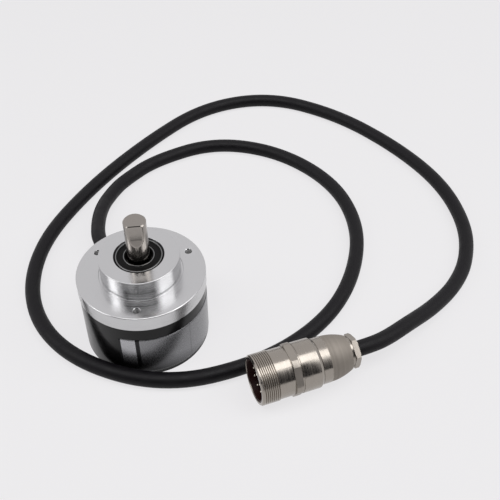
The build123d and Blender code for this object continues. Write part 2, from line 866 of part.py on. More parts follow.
with BuildPart() as gland_seal:
    turn(
        (gland_neck_end - gland_seal_length, cable_radius),
        (gland_neck_end - gland_seal_length, gland_neck_bore),
        (gland_neck_end, gland_neck_bore), (gland_neck_end, cable_radius),
        plane=outlet_section, axis=outlet_axis,
    )
finish(gland_seal, "gland_seal")

with BuildPart() as gland_nut:
    with BuildSketch(outlet_plane.offset(gland_neck + gland_nut_gap)):
        RegularPolygon(gland_corner, 6)
    extrude(amount=gland_nut_end - gland_neck - gland_nut_gap)
    turn(
        (gland_neck, 0), (gland_neck, gland_corner), (gland_nut_end - gland_nut_dome, gland_corner),
        (gland_nut_end - gland_nut_dome / 3, gland_corner - gland_nut_dome),
        (gland_nut_end, gland_nut_face), (gland_nut_end, 0),
        plane=outlet_section, axis=outlet_axis, mode=Mode.INTERSECT,
    )
    turn(
        (gland_neck, 0), (gland_neck, gland_neck_radius), (gland_neck_end, gland_neck_radius),
        (gland_neck_end, cable_hole), (gland_nut_end, cable_hole), (gland_nut_end, 0),
        plane=outlet_section, axis=outlet_axis, mode=Mode.SUBTRACT,
    )
finish(gland_nut, "gland_nut")

with BuildPart() as lock_nut:
    with BuildSketch(outlet_plane.offset(outlet_inner_face)):
        RegularPolygon(gland_corner, 6)
        Circle(gland_thread_radius, mode=Mode.SUBTRACT)
    extrude(amount=-lock_nut_thickness)
finish(lock_nut, "gland_lock_nut")

# Foil label round the cover

label_plane = Plane(
    origin=(0, 0, 0), x_dir=(*polar(1, label_start), 0), z_dir=(*polar(1, label_start - 90), 0),
)

with BuildPart() as type_label:
    turn(
        *band(cover_radius, cover_radius + label_thickness, label_bottom, label_top),
        plane=label_plane, arc=label_sweep,
    )
finish(type_label, "type_label")

# Connector, drawn as (place along the axis, radius)

connector_section = Plane(
    origin=connector_front, x_dir=connector_direction,
    z_dir=(connector_direction.Y, -connector_direction.X, 0),
)
connector_axis = Axis(connector_front, connector_direction)
connector_face = Plane(
    origin=connector_front, x_dir=(-connector_direction.Y, connector_direction.X, 0),
    z_dir=connector_direction,
)


def turn_connector(*outline, mode=Mode.ADD):
    """Turn an outline about the connector's axis."""
    turn(*outline, plane=connector_section, axis=connector_axis, mode=mode)


with BuildPart() as connector_shell:
    turn_connector(
        (0, shell_bore), (0, thread_radius - front_chamfer), (front_chamfer, thread_radius),
        (thread_length, thread_radius), (thread_length, thread_undercut),
        (shell_length, thread_undercut), (shell_length, shell_tail_radius),
        (shell_tail_end, shell_tail_radius), (shell_tail_end, insert_radius),
        (insert_face + insert_shoulder, insert_radius),
        (insert_face + insert_shoulder, shell_bore),
    )
finish(connector_shell, "connector_shell")

with BuildPart() as connector_insert:
    turn_connector(
        (insert_face, 0), (insert_face, skirt_bore), (skirt_start, skirt_bore),
        (skirt_start, shell_bore), (insert_face + insert_shoulder, shell_bore),
        (insert_face + insert_shoulder, insert_radius), (insert_end, insert_radius),
        (insert_end, 0),
    )
    with BuildSketch(connector_face.offset(insert_face)):
        with PolarLocations(pin_outer_circle, pin_outer_count, pin_start):
            Circle(pin_radius)
        with PolarLocations(pin_inner_circle, pin_inner_count, pin_start):
            Circle(pin_radius)
    extrude(amount=insert_end - insert_face, mode=Mode.SUBTRACT)
    with BuildSketch(connector_face.offset(key_start)):
        with Locations((0, skirt_bore)):
            Rectangle(key_width, 2 * key_depth)
    extrude(amount=insert_face - key_start)
finish(connector_insert, "connector_insert")

with BuildPart() as connector_pins:
    with BuildSketch(connector_face.offset(pin_tip)):
        with PolarLocations(pin_outer_circle, pin_outer_count, pin_start):
            Circle(pin_radius)
        with PolarLocations(pin_inner_circle, pin_inner_count, pin_start):
            Circle(pin_radius)
    extrude(amount=insert_end - pin_tip)
    front_edges = connector_pins.edges().filter_by(GeomType.CIRCLE).filter_by(
        lambda edge: (edge.arc_center - Vector(*connector_front)).dot(connector_direction)
        < pin_tip + pin_radius
    )
    chamfer(front_edges, pin_radius / 2)
finish(connector_pins, "connector_pins")

groove_start = shell_length + collar_length
groove_end = groove_start + groove_width

with BuildPart() as connector_barrel:
    turn_connector(
        (shell_length, shell_tail_radius), (shell_length, collar_radius - collar_edge),
        (shell_length + collar_edge, collar_radius), (groove_start - collar_edge, collar_radius),
        (groove_start, collar_radius - collar_edge), (groove_start, groove_radius),
        (groove_end, groove_radius), (groove_end, barrel_radius),
        (barrel_end - barrel_taper_length, barrel_radius),
        (barrel_end, barrel_radius - barrel_taper), (barrel_end, barrel_rear_bore),
        (shell_tail_end, barrel_rear_bore),
        (shell_tail_end, shell_tail_radius),
    )
    with BuildSketch(connector_face.offset(shell_length)):
        Circle(2 * collar_radius)
        RegularPolygon(
            collar_radius - collar_flat_cut, 6, major_radius=False, rotation=collar_turn,
            mode=Mode.SUBTRACT,
        )
    extrude(amount=collar_length, mode=Mode.SUBTRACT)
finish(connector_barrel, "connector_barrel")

backshell_start = barrel_end - backshell_spigot
lip_end = barrel_end + backshell_lip_length
bulge_middle = (
    (lip_end + backshell_end) / 2,
    (backshell_front_radius + backshell_rear_radius) / 2 + backshell_bulge,
)

with BuildPart() as backshell:
    with BuildSketch(connector_section):
        with BuildLine():
            Polyline(
                (backshell_end, backshell_rear_radius), (backshell_end, backshell_bore),
                (seal_step, backshell_bore), (seal_step, seal_step_bore),
                (seal_step - backshell_wall, seal_step_bore),
                (seal_step - backshell_wall, barrel_rear_bore - backshell_wall),
                (backshell_start, barrel_rear_bore - backshell_wall),
                (backshell_start, barrel_rear_bore), (barrel_end, barrel_rear_bore),
                (barrel_end, backshell_lip_radius), (lip_end, backshell_lip_radius),
                (lip_end, backshell_front_radius),
            )
            ThreePointArc(
                (lip_end, backshell_front_radius), bulge_middle,
                (backshell_end, backshell_rear_radius),
            )
        make_face()
    revolve(axis=connector_axis)
finish(backshell, "connector_backshell")

with BuildPart() as connector_seal:
    turn_connector(
        (seal_step, cable_radius), (seal_step, backshell_bore),
        (seal_step + connector_seal_length, backshell_bore),
        (seal_step + connector_seal_length, cable_radius),
    )
finish(connector_seal, "connector_cable_seal")

collet_start = seal_step + connector_seal_length
clamp_start = collet_start + collet_length

with BuildPart() as cable_collet:
    turn_connector(
        (collet_start, cable_radius), (collet_start, backshell_bore),
        (clamp_start, backshell_bore), (clamp_start, cable_radius),
    )
    with BuildSketch(connector_face.offset(collet_start + collet_length / 3)):
        with PolarLocations(backshell_bore, collet_slots):
            Rectangle(2 * backshell_bore - 2 * cable_radius, collet_slot_width)
    extrude(amount=collet_length, mode=Mode.SUBTRACT)
finish(cable_collet, "cable_collet")

clamp_corner = clamp_hex / 2 / cos(radians(30))
clamp_hex_start = backshell_end + clamp_neck_length

with BuildPart() as clamp_nut:
    with BuildSketch(connector_face.offset(clamp_hex_start)):
        RegularPolygon(clamp_corner, 6, rotation=clamp_hex_turn)
    extrude(amount=clamp_end - clamp_hex_start)
    turn_connector(
        (clamp_hex_start, 0), (clamp_hex_start, clamp_corner - clamp_chamfer / 2),
        (clamp_hex_start + clamp_chamfer / 3, clamp_corner),
        (clamp_end - 2 * clamp_chamfer / 3, clamp_corner),
        (clamp_end, clamp_corner - clamp_chamfer), (clamp_end, 0), mode=Mode.INTERSECT,
    )
    turn_connector(
        (clamp_start, 0), (clamp_start, backshell_bore), (backshell_end, backshell_bore),
        (backshell_end, clamp_neck_radius), (clamp_hex_start, clamp_neck_radius),
        (clamp_hex_start, 0),
    )
    turn_connector(
        (clamp_start, 0), (clamp_start, cable_hole), (clamp_end, cable_hole), (clamp_end, 0),
        mode=Mode.SUBTRACT,
    )
finish(clamp_nut, "clamp_nut")

with BuildPart() as connector_cable_end:
    with BuildSketch(connector_face.offset(connector_tail_start)):
        Circle(cable_radius)
    extrude(amount=clamp_end - connector_tail_start)
finish(connector_cable_end, "connector_cable_end")

with BuildPart() as connector_cores:
    with BuildSketch(connector_face.offset(insert_end)):
        with GridLocations(core_pitch, core_pitch, core_columns, 2):
            Circle(core_radius)
    extrude(amount=connector_tail_start - insert_end)
finish(connector_cores, "connector_cores")

# Cable: straight runs joined by arcs as large as the runs allow

route_points = [Vector(*point) for point in cable_route]
route_radii = []
for before, corner, after in zip(route_points, route_points[1:], route_points[2:]):
    bend = (corner - before).get_angle(after - corner)
    shorter_run = min((corner - before).length, (after - corner).length)
    route_radii.append(bend_share * shorter_run / tan(radians(bend / 2)))

with BuildPart() as cable:
    with BuildLine() as cable_path:
        FilletPolyline(*route_points, radius=route_radii)
    with BuildSketch(Plane(origin=route_points[0], z_dir=route_points[1] - route_points[0])):
        Circle(cable_radius)
    sweep(path=cable_path.wires()[0])
finish(cable, "cable")

cable_length = cable_path.wires()[0].length
print("cable radii", [round(radius, 1) for radius in route_radii])
print("cable length", round(cable_length, 1))
print("volume over section times length",
      round(cable.part.volume / (pi * cable_radius ** 2 * cable_length), 4))
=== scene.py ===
"""Looks for an incremental rotary encoder with a radial cable and a round threaded connector.

Pieces are surfaces of revolution, threads, hexagons and patches worked out as whole arrays. Sizes in the
shape functions are in millimetres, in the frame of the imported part: +Z along the shaft, +Y along the cable
outlet, the origin at the centre of the rear face.
"""

import bpy
import numpy as np
from mathutils import Matrix, Vector


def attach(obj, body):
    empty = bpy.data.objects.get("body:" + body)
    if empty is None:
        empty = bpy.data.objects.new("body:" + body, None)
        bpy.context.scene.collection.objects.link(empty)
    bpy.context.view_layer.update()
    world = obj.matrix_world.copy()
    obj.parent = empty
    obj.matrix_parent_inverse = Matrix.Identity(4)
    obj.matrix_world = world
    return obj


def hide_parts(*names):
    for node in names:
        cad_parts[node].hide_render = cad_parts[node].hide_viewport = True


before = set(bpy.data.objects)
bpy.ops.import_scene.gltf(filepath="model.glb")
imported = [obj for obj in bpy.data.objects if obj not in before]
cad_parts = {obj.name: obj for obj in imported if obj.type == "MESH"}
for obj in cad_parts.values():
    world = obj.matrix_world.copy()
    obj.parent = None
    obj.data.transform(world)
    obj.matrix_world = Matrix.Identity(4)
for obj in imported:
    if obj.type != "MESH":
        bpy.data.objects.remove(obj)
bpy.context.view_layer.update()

bl_info = {
    "name": "Rotary encoder",
    "version": (1, 0, 0),
    "blender": (4, 5, 0),
    "location": "3D View > Sidebar > Encoder",
    "description": "Dresses an incremental rotary encoder, its cable and its round connector",
    "category": "Object",
}

MM = 0.001
FULL_TURN = 2 * np.pi
COVER_TOP, FLANGE_TOP, PILOT_TOP = 30.7, 38.2, 48.2
COVER_RADIUS = 28.7
BEARING_LOW, BEARING_TOP = 43.0, 48.0
BEARING_RADIUS, BEARING_BORE = 10.5, 6.0
HOLE_CIRCLE, SCREW_CIRCLE = 24.0, 23.5
OUTLET_HEIGHT = 12.0
CONNECTOR_FRONT = (21.65, -61.47, 12.2)
CONNECTOR_HEADING = np.radians(-10.4)
FLAT_ANGLE = np.radians(-115.0)
CABLE_ROUTE = [
    (0, 42, 12), (0, 51.7, 12), (2.3, 63.2, 10.6), (12.4, 82.6, 7.4), (25.8, 95.8, 4.6), (35.5, 102.1, 3.7),
    (58.2, 109.5, 3.7), (96, 106.5, 3.7), (124, 79, 3.7), (135, 39, 3.7), (125.5, 2, 3.7), (101, -27, 3.7),
    (71, -44.5, 3.7), (33, -49.5, 3.7), (-11, -38, 3.7), (-41, -1.5, 3.7), (-45.5, 38, 3.7), (-26, 76, 3.7),
    (13, 104.5, 3.7), (60, 127, 3.7), (107.5, 142, 3.7), (149.5, 130, 3.7), (174.5, 92.5, 3.7),
    (185.5, 48, 3.7), (186.5, 7.5, 3.7), (175, -26, 3.7), (158, -46.6, 3.7), (140.5, -57.7, 3.7),
    (120.5, -64.5, 5.5), (101, -68.7, 9.3), (86.2, -71.7, 11.5), (76.93, -71.61, 12.2),
    (69.06, -70.17, 12.2),
]


# Shapes


class Spindle:
    """An axis that profiles turn about: a point on it and the unit vectors side, up and along."""

    def __init__(self, point, along, side):
        self.point = np.array(point, float)
        self.along = np.array(along, float)
        self.side = np.array(side, float)
        self.up = np.cross(self.along, self.side)

    def place(self, along, radius, angle):
        """point + along * a + radius * (cos angle * side + sin angle * up), for arrays of equal shape."""
        return (
            self.point + along[..., None] * self.along
            + (radius * np.cos(angle))[..., None] * self.side
            + (radius * np.sin(angle))[..., None] * self.up
        )

    def direction(self, along, radius, angle):
        """The same sum without the point, for normals."""
        return self.place(along, radius, angle) - self.point

    def beside(self, along, radius, angle):
        """A parallel spindle through the point at that place, radius and angle."""
        point = self.place(np.full(1, float(along)), np.full(1, float(radius)), np.full(1, angle))[0]
        return Spindle(point, self.along, self.side)


UPRIGHT = Spindle((0, 0, 0), (0, 0, 1), (1, 0, 0))
REAR = Spindle((0, 0, 0), (0, 0, -1), (1, 0, 0))
OUTLET = Spindle((0, 0, OUTLET_HEIGHT), (0, 1, 0), (0, 0, 1))
CONNECTOR = Spindle(
    CONNECTOR_FRONT,
    (np.cos(CONNECTOR_HEADING), np.sin(CONNECTOR_HEADING), 0),
    (-np.sin(CONNECTOR_HEADING), np.cos(CONNECTOR_HEADING), 0),
)


def soften(corners, closed=True, rounding=0.08, steps=4):
    """Rounds a profile's corners with arcs.

    A corner is (place along the axis, radius), with its own rounding as a third number where it has one. The
    arc leaves each run at rounding * tan(turn / 2) from the corner, or at 0.45 of the shorter run where that
    is less. Outside is to the left of the way that the profile is walked. Returns points and unit normals.
    """
    spots = np.array([corner[:2] for corner in corners], float)
    sizes = [corner[2] if len(corner) > 2 else rounding for corner in corners]
    count = len(spots)
    points, normals = [], []
    for i in range(count):
        before = spots[i] - spots[i - 1]
        after = spots[(i + 1) % count] - spots[i]
        if not closed and i == 0:
            before = after
        if not closed and i == count - 1:
            after = before
        before_length, after_length = np.hypot(*before), np.hypot(*after)
        before, after = before / before_length, after / after_length
        turn = np.arctan2(before[0] * after[1] - before[1] * after[0], before @ after)
        left = np.array([-before[1], before[0]])
        if abs(turn) < 1e-6 or sizes[i] == 0:
            points.append(spots[i][None])
            normals.append(left[None])
            continue
        reach = min(sizes[i] * np.tan(abs(turn) / 2), 0.45 * min(before_length, after_length))
        radius = reach / np.tan(abs(turn) / 2)
        centre = spots[i] - before * reach + left * radius * np.sign(turn)
        swing = np.linspace(0, turn, steps + 1)
        arc = np.stack([
            left[0] * np.cos(swing) - left[1] * np.sin(swing),
            left[0] * np.sin(swing) + left[1] * np.cos(swing),
        ], -1)
        points.append(centre - np.sign(turn) * radius * arc)
        normals.append(arc)
    points, normals = np.concatenate(points), np.concatenate(normals)
    if closed:
        points, normals = np.append(points, points[:1], 0), np.append(normals, normals[:1], 0)
    return points, normals


def even_angles(columns):
    """Angles of the columns of a full turn, the first repeated at the end."""
    return np.linspace(0, FULL_TURN, columns + 1)


def hexagon(apothem, corner_at=30.0, above=-np.inf, below=np.inf):
    """Limit that cuts a turned piece to a hexagon between two places on its axis.

    The radius there is at most apothem / cos(angle from the middle of the nearest flat).
    """
    def limit(along, angle):
        sixth = np.pi / 3
        radius = apothem / np.cos((angle - np.radians(corner_at)) % sixth - sixth / 2)
        return np.where((along > above) & (along < below), radius, np.inf)
    return limit


def turned(spindle, corners, closed=True, columns=192, steps=4, angles=None, limit=None):
    """A profile turned about a spindle: point(a, r, t), with a and r from the profile and t the angle.

    limit(a, t), where given, is the largest radius there, which cuts flats and hexagons.
    Returns a patch: points, normals (none where flats are cut) and UV.
    """
    profile, outward = soften(corners, closed, steps=steps)
    angles = even_angles(columns) if angles is None else angles
    along, angle = np.meshgrid(profile[:, 0], angles, indexing="ij")
    radius = np.repeat(profile[:, 1:2], len(angles), 1)
    if limit is not None:
        radius = np.minimum(radius, limit(along, angle))
        normals = None
    else:
        normals = spindle.direction(
            np.repeat(outward[:, 0:1], len(angles), 1), np.repeat(outward[:, 1:2], len(angles), 1), angle,
        )
    return spindle.place(along, radius, angle), normals, turned_uv(profile, angles)


def turned_uv(profile, angles):
    """UV of a turned patch: u is the share of a turn, v the share of the profile's length."""
    walked = np.append(0, np.cumsum(np.hypot(*np.diff(profile, axis=0).T)))
    v, u = np.meshgrid(walked / walked[-1], angles / FULL_TURN, indexing="ij")
    return np.stack([u, v], -1)


def blank_uv(grid):
    """UV of a patch that no pattern follows: zero at every point."""
    return np.zeros(grid.shape[:2] + (2,))


def thread(spindle, start, end, radius, pitch, depth, columns=160, per_pitch=8, inside=False):
    """A single-start thread whose rows follow the helix a = row + pitch * t / (2 pi), kept between its ends.

    The groove's share of the depth is steepness * wave - crest, kept between 0 and 1, where wave is a
    triangle wave of the row from 0 to 1. So the crest is flat over nearly half a pitch and the root over a
    tenth. The groove runs out over half a pitch at both ends. An inside thread is walked the other way, so
    that it faces its axis.
    """
    steepness, crest = 2.2, 1.0
    rows = np.arange(start - pitch, end + pitch / per_pitch, pitch / per_pitch)
    angles = even_angles(columns)
    row, angle = np.meshgrid(rows, angles, indexing="ij")
    along = np.clip(row + pitch * angle / FULL_TURN, start, end)
    wave = 1 - np.abs(2 * ((row - start) / pitch % 1) - 1)
    groove = np.clip(steepness * wave - crest, 0, 1)
    runout = np.clip(np.minimum(along - start, end - along) / (pitch / 2), 0, 1)
    grid = spindle.place(along, radius - depth * groove * runout, angle)
    uv = np.stack([angle / FULL_TURN, (along - start) / (end - start)], -1)
    return (grid[::-1], None, uv[::-1]) if inside else (grid, None, uv)


def prism(spindle, outline, low, high):
    """A closed bar: an outline of (side, up) points carried from low to high and closed to its middle."""
    outline = np.array(outline + outline[:1], float)
    middle = np.repeat(outline[:-1].mean(0)[None], len(outline), 0)
    rings = np.stack([middle, outline, outline, middle])
    along = np.array([low, low, high, high])[:, None, None]
    points = spindle.point + along * spindle.along
    points = points + rings[..., :1] * spindle.side + rings[..., 1:] * spindle.up
    return points, None, blank_uv(points)


def holed_ring(spindle, inner, outer, circle, hole_profile, hole_angles, half_columns,
               columns=360, cells=12, collar_cells=6):
    """The flat ring at a = 0 between two radii, with equal round holes on a circle.

    Away from the holes it is a polar grid. Round each hole a sector's edge p closes to the hole's circle by
    c + (p - c) * (1 - k + k * r / |p - c|), k from 0 to 1, and the hole's own profile, turned about its
    centre c, goes on from there with the same columns.
    """
    up = spindle.along
    step = FULL_TURN / columns
    half = half_columns * step
    centres = sorted(angle % FULL_TURN for angle in hole_angles)
    patches = []
    for centre, following in zip(centres, [*centres[1:], centres[0] + FULL_TURN]):
        count = round((following - centre - 2 * half) / step)
        angles = centre + half + step * np.arange(count + 1)
        radius, angle = np.meshgrid(np.linspace(outer, inner, cells + 1), angles, indexing="ij")
        grid = spindle.place(0 * radius, radius, angle)
        uv = np.stack([angle / FULL_TURN, (outer - radius) / (outer - inner)], -1)
        patches.append((grid, np.broadcast_to(up, grid.shape), uv))
    profile, outward = soften(hole_profile, closed=False, rounding=0.06)
    side = np.linspace(inner, outer, cells + 1)
    swing = np.linspace(-half, half, 2 * half_columns + 1)
    edge_radius = np.concatenate([
        side, np.full(2 * half_columns - 1, outer), side[::-1], np.full(2 * half_columns, inner),
    ])
    edge_swing = np.concatenate([
        np.full(cells + 1, -half), swing[1:-1], np.full(cells + 1, half), swing[-2::-1],
    ])
    share = np.linspace(0, 1, collar_cells + 1)[:, None, None]
    for centre in centres:
        edge = spindle.place(0 * edge_radius, edge_radius, centre + edge_swing)
        middle = spindle.beside(0, circle, centre).point
        reach = np.linalg.norm(edge - middle, axis=-1, keepdims=True)
        ways = (edge - middle) / reach
        collar = middle + (edge - middle) * (1 - share + share * profile[0, 1] / reach)
        patches.append((collar, np.broadcast_to(up, collar.shape), blank_uv(collar)))
        hole = middle + profile[:, None, :1] * up + profile[:, None, 1:] * ways
        facing = outward[:, None, :1] * up + outward[:, None, 1:] * ways
        patches.append((hole, facing, blank_uv(hole)))
    return patches


def mesh_piece(name, patches, sharp=25.0):
    """Joins patches of grid points into one mesh object, with its place in its vertices.

    A quad is (i, j), (i, j+1), (i+1, j+1), (i+1, j). Points in the same cell, with the same normal where
    normals are known, become one vertex, and quads that shrink to a line or a point there lose a corner or
    go. The offset keeps round numbers off a cell's edge.
    """
    point_cells, normal_cells, offset = 2000, 10, 0.137
    known = all(normals is not None for _, normals, _ in patches)
    points = np.concatenate([grid.reshape(-1, 3) for grid, _, _ in patches])
    uv = np.concatenate([coordinates.reshape(-1, 2) for _, _, coordinates in patches])
    quads, start = [], 0
    for grid, _, _ in patches:
        index = start + np.arange(grid.shape[0] * grid.shape[1]).reshape(grid.shape[:2])
        around = np.stack([index[:-1, :-1], index[:-1, 1:], index[1:, 1:], index[1:, :-1]], -1)
        quads.append(around.reshape(-1, 4))
        start += index.size
    quads = np.concatenate(quads)
    key = np.round(points * point_cells + offset)
    if known:
        normals = np.concatenate([facing.reshape(-1, 3) for _, facing, _ in patches])
        key = np.hstack([key, np.round(normals * normal_cells + offset)])
    _, first, merged = np.unique(key, axis=0, return_index=True, return_inverse=True)
    corners = merged.reshape(-1)[quads]
    keep = corners != np.roll(corners, -1, axis=1)
    whole = keep.sum(1) >= 3
    corners, raw, keep = corners[whole], quads[whole], keep[whole]
    loops = corners[keep]
    faces = np.split(loops, np.cumsum(keep.sum(1))[:-1])
    mesh = bpy.data.meshes.new(name)
    mesh.from_pydata(points[first] * MM, [], [face.tolist() for face in faces])
    layer = mesh.uv_layers.new(name="UVMap")
    layer.data.foreach_set("uv", uv[raw[keep]].ravel().astype(np.float32))
    mesh.shade_smooth()
    if known:
        mesh.normals_split_custom_set_from_vertices(normals[first])
    else:
        mesh.set_sharp_from_angle(angle=np.radians(sharp))
    piece = bpy.data.objects.new(name, mesh)
    bpy.context.scene.collection.objects.link(piece)
    return piece


# Finishes


def add_node(tree, kind, inputs=(), **settings):
    """Adds a node, sets its properties and links or sets its inputs, given as {socket: value}."""
    node = tree.nodes.new(kind)
    for setting, value in settings.items():
        setattr(node, setting, value)
    for socket, value in dict(inputs).items():
        if isinstance(value, bpy.types.NodeSocket):
            tree.links.new(value, node.inputs[socket])
        else:
            node.inputs[socket].default_value = value
    return node


class Finish:
    """A material with one Principled shader. Constant values go straight onto its sockets."""

    def __init__(self, name, color, roughness, metallic=0.0, **constants):
        self.material = bpy.data.materials.new(name)
        self.material.use_nodes = True
        self.tree = self.material.node_tree
        self.shader = self.tree.nodes["Principled BSDF"]
        self.shader.inputs["Base Color"].default_value = (*color, 1)
        self.shader.inputs["Roughness"].default_value = roughness
        self.shader.inputs["Metallic"].default_value = metallic
        self.color = color
        for socket, value in constants.items():
            self.shader.inputs[socket.replace("_", " ")].default_value = value

    def node(self, kind, inputs=(), **settings):
        """Adds a node to this finish."""
        return add_node(self.tree, kind, inputs, **settings)

    def math(self, operation, first, second):
        """The sum or product of two values."""
        return self.node("ShaderNodeMath", {0: first, 1: second}, operation=operation).outputs[0]

    def mixed_color(self, share, first, second):
        """The mix of two colours, which are a Mix node's inputs 6 and 7 and its output 2."""
        return self.node("ShaderNodeMix", {0: share, 6: first, 7: second}, data_type="RGBA").outputs[2]

    def link(self, output, socket):
        """Links an output to one of the shader's sockets."""
        self.tree.links.new(output, self.shader.inputs[socket])

    def coordinates(self, spindle=None):
        """Object coordinates in metres, turned so that the spindle's axis is Z where one is given."""
        output = self.node("ShaderNodeTexCoord").outputs["Object"]
        if spindle is None:
            return output
        turn = Matrix([spindle.side, spindle.up, spindle.along])
        mapping = self.node("ShaderNodeMapping", {"Vector": output})
        mapping.inputs["Rotation"].default_value = turn.to_euler("XYZ")
        mapping.inputs["Location"].default_value = -(turn @ Vector(spindle.point * MM))
        return mapping.outputs["Vector"]

    def noise(self, vector, per_metre, detail=2.0, roughness=0.5):
        """A noise texture of so many cells a metre."""
        return self.node("ShaderNodeTexNoise", {
            "Vector": vector, "Scale": per_metre, "Detail": detail, "Roughness": roughness,
        }).outputs["Fac"]

    def rings(self, walk, spacing, detail):
        """Noise of one number, with a cell each spacing, in millimetres."""
        return self.node("ShaderNodeTexNoise", {
            "W": walk, "Scale": 1 / (spacing * MM), "Detail": detail,
        }, noise_dimensions="1D").outputs["Fac"]

    def spread(self, value, low, high, from_low=0.3, from_high=0.7):
        """The value mapped from its usual range to another."""
        return self.node("ShaderNodeMapRange", {
            "Value": value, "From Min": from_low, "From Max": from_high, "To Min": low, "To Max": high,
        }).outputs["Result"]

    def shade(self, value, darkest, lightest=1.0):
        """Base colour between two multiples of the finish's own colour."""
        low, high = ((*[min(1.0, c * factor) for c in self.color], 1) for factor in (darkest, lightest))
        self.link(self.mixed_color(value, low, high), "Base Color")

    def bump(self, height, distance):
        """Surface relief of so many metres between the height's 0 and 1."""
        bump = self.node("ShaderNodeBump", {"Height": height, "Distance": distance})
        self.link(bump.outputs["Normal"], "Normal")


def turned_metal(name, color, roughness, spindle, groove=0.12, relief=0.4e-6, anisotropy=0.6, smudge=0.08,
                 bands=(), painted_shade_within=None, painted_shade_below=None):
    """Metal with the rings of a turning tool.

    The rings are noise of one number, the distance from the axis plus the place along it, so they run round
    both faces and sides. The tangent comes from the turned UV map, whose u goes round the axis. A band
    (start, end, roughness) has its own roughness over that stretch of the axis. Inside a given radius, or
    below a given place on the axis, the base colour is darkened towards black as painted shade of a bore.
    """
    finish = Finish(name, color, roughness, 1.0, Anisotropic=anisotropy, Anisotropic_Rotation=0.25)
    vector = finish.coordinates(spindle)
    flat = finish.node("ShaderNodeVectorMath", {0: vector, 1: (1, 1, 0)}, operation="MULTIPLY").outputs[0]
    radius = finish.node("ShaderNodeVectorMath", {0: flat}, operation="LENGTH").outputs["Value"]
    height = finish.node("ShaderNodeSeparateXYZ", {"Vector": vector}).outputs["Z"]
    walk = finish.math("ADD", radius, height)
    rings = finish.rings(walk, groove, 2.0)
    broad = finish.rings(walk, groove * 9, 1.0)
    haze = finish.noise(vector, 160, detail=3.0)
    smudges = finish.math("ADD", broad, haze)
    dull = finish.spread(smudges, roughness - smudge / 2, roughness + smudge, 0.7, 1.3)
    edge_width = 0.1
    for start, end, other in bands:
        into = finish.spread(height, 0, 1, start * MM, (start + edge_width) * MM)
        out = finish.spread(height, 1, 0, end * MM, (end + edge_width) * MM)
        share = finish.math("MULTIPLY", into, out)
        dull = finish.math("ADD", dull, finish.math("MULTIPLY", share, other - roughness))
    finish.link(dull, "Roughness")
    tone = finish.spread(rings, 0.94, 1)
    # Painted shade: the base colour goes to black inside the given radius and below the given place
    for value, edge in ((radius, painted_shade_within), (height, painted_shade_below)):
        if edge is not None:
            low, high = edge - edge_width / 2, edge + edge_width / 2
            tone = finish.math("MULTIPLY", tone, finish.spread(value, 0, 1, low * MM, high * MM))
    finish.shade(tone, 0.04)
    finish.bump(rings, relief)
    tangent = finish.node("ShaderNodeTangent", direction_type="UV_MAP", uv_map="UVMap")
    finish.link(tangent.outputs[0], "Tangent")
    return finish.material


def plain_metal(name, color, roughness, scale=400):
    """Small metal parts: a slight haze and a fine tooth."""
    finish = Finish(name, color, roughness, 1.0)
    vector = finish.coordinates()
    haze = finish.noise(vector, scale, detail=3.0)
    finish.link(finish.spread(haze, roughness * 0.8, roughness * 1.25), "Roughness")
    finish.shade(finish.spread(haze, 0, 1), 0.88)
    finish.bump(finish.noise(vector, scale * 12, detail=1.0), 1.5e-6)
    return finish.material


def moulded(name, color, roughness, tooth=3000, relief=6e-6, **constants):
    """Moulded plastic or rubber: an even fine tooth and slight changes of tone."""
    finish = Finish(name, color, roughness, 0.0, **constants)
    vector = finish.coordinates()
    haze = finish.noise(vector, 220, detail=3.0)
    finish.link(finish.spread(haze, roughness * 0.85, min(1.0, roughness * 1.15)), "Roughness")
    finish.shade(finish.spread(haze, 0, 1), 0.85, 1.12)
    finish.bump(finish.noise(vector, tooth, detail=2.0), relief)
    return finish.material


def lacquer(name, color, roughness):
    """Glossy coating with a faint orange peel, and scuffs that show in its gloss alone."""
    finish = Finish(name, color, roughness, 0.0, Specular_IOR_Level=0.2)
    vector = finish.coordinates()
    peel = finish.noise(vector, 900, detail=1.0)
    scuff = finish.noise(vector, 90, detail=5.0, roughness=0.65)
    finish.link(finish.spread(scuff, roughness * 0.75, roughness * 1.5), "Roughness")
    finish.bump(peel, 3e-6)
    return finish.material


def paint(piece, material):
    """Makes a material the only one of a piece."""
    piece.data.materials.clear()
    piece.data.materials.append(material)


def give(piece, material, replaced=None, body="housing"):
    """Sets a finished piece's material, the node it stands for and the body that it rides on."""
    paint(piece, material)
    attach(piece, body)
    if replaced:
        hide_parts(replaced)


def add_piece(name, patches, material, replaced=None, body="housing", sharp=25.0):
    """Makes a piece of patches and gives it what a finished piece has."""
    give(mesh_piece(name, patches, sharp), material, replaced, body)


def dress(nodes, material):
    """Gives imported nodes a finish."""
    for node in nodes:
        paint(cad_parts[node], material)


# Settings


def colour_property(name, description, default):
    return bpy.props.FloatVectorProperty(
        name=name, description=description, default=default, size=3, subtype="COLOR", min=0, max=1,
    )


def share_property(name, description, default):
    return bpy.props.FloatProperty(
        name=name, description=description, default=default, min=0, max=1, subtype="FACTOR",
    )


def length_property(name, description, default):
    return bpy.props.FloatProperty(
        name=name, description=description, default=default, min=0, unit="LENGTH", precision=5,
    )


class EncoderHousingSettings(bpy.types.PropertyGroup):
    """Finish of the flange, the cover and the label."""
    aluminium: colour_property("Aluminium", "Colour of the turned flange", (0.6, 0.6, 0.605))
    aluminium_roughness: share_property("Aluminium roughness", "How dull the flange is", 0.19)
    groove: length_property("Tool marks", "Distance between the rings of the turning tool", 0.00012)
    coating: colour_property("Coating", "Colour of the cover", (0.005, 0.0047, 0.0049))
    coating_roughness: share_property("Coating roughness", "How dull the cover is", 0.17)
    foil: colour_property("Foil", "Colour of the label", (0.25, 0.25, 0.26))


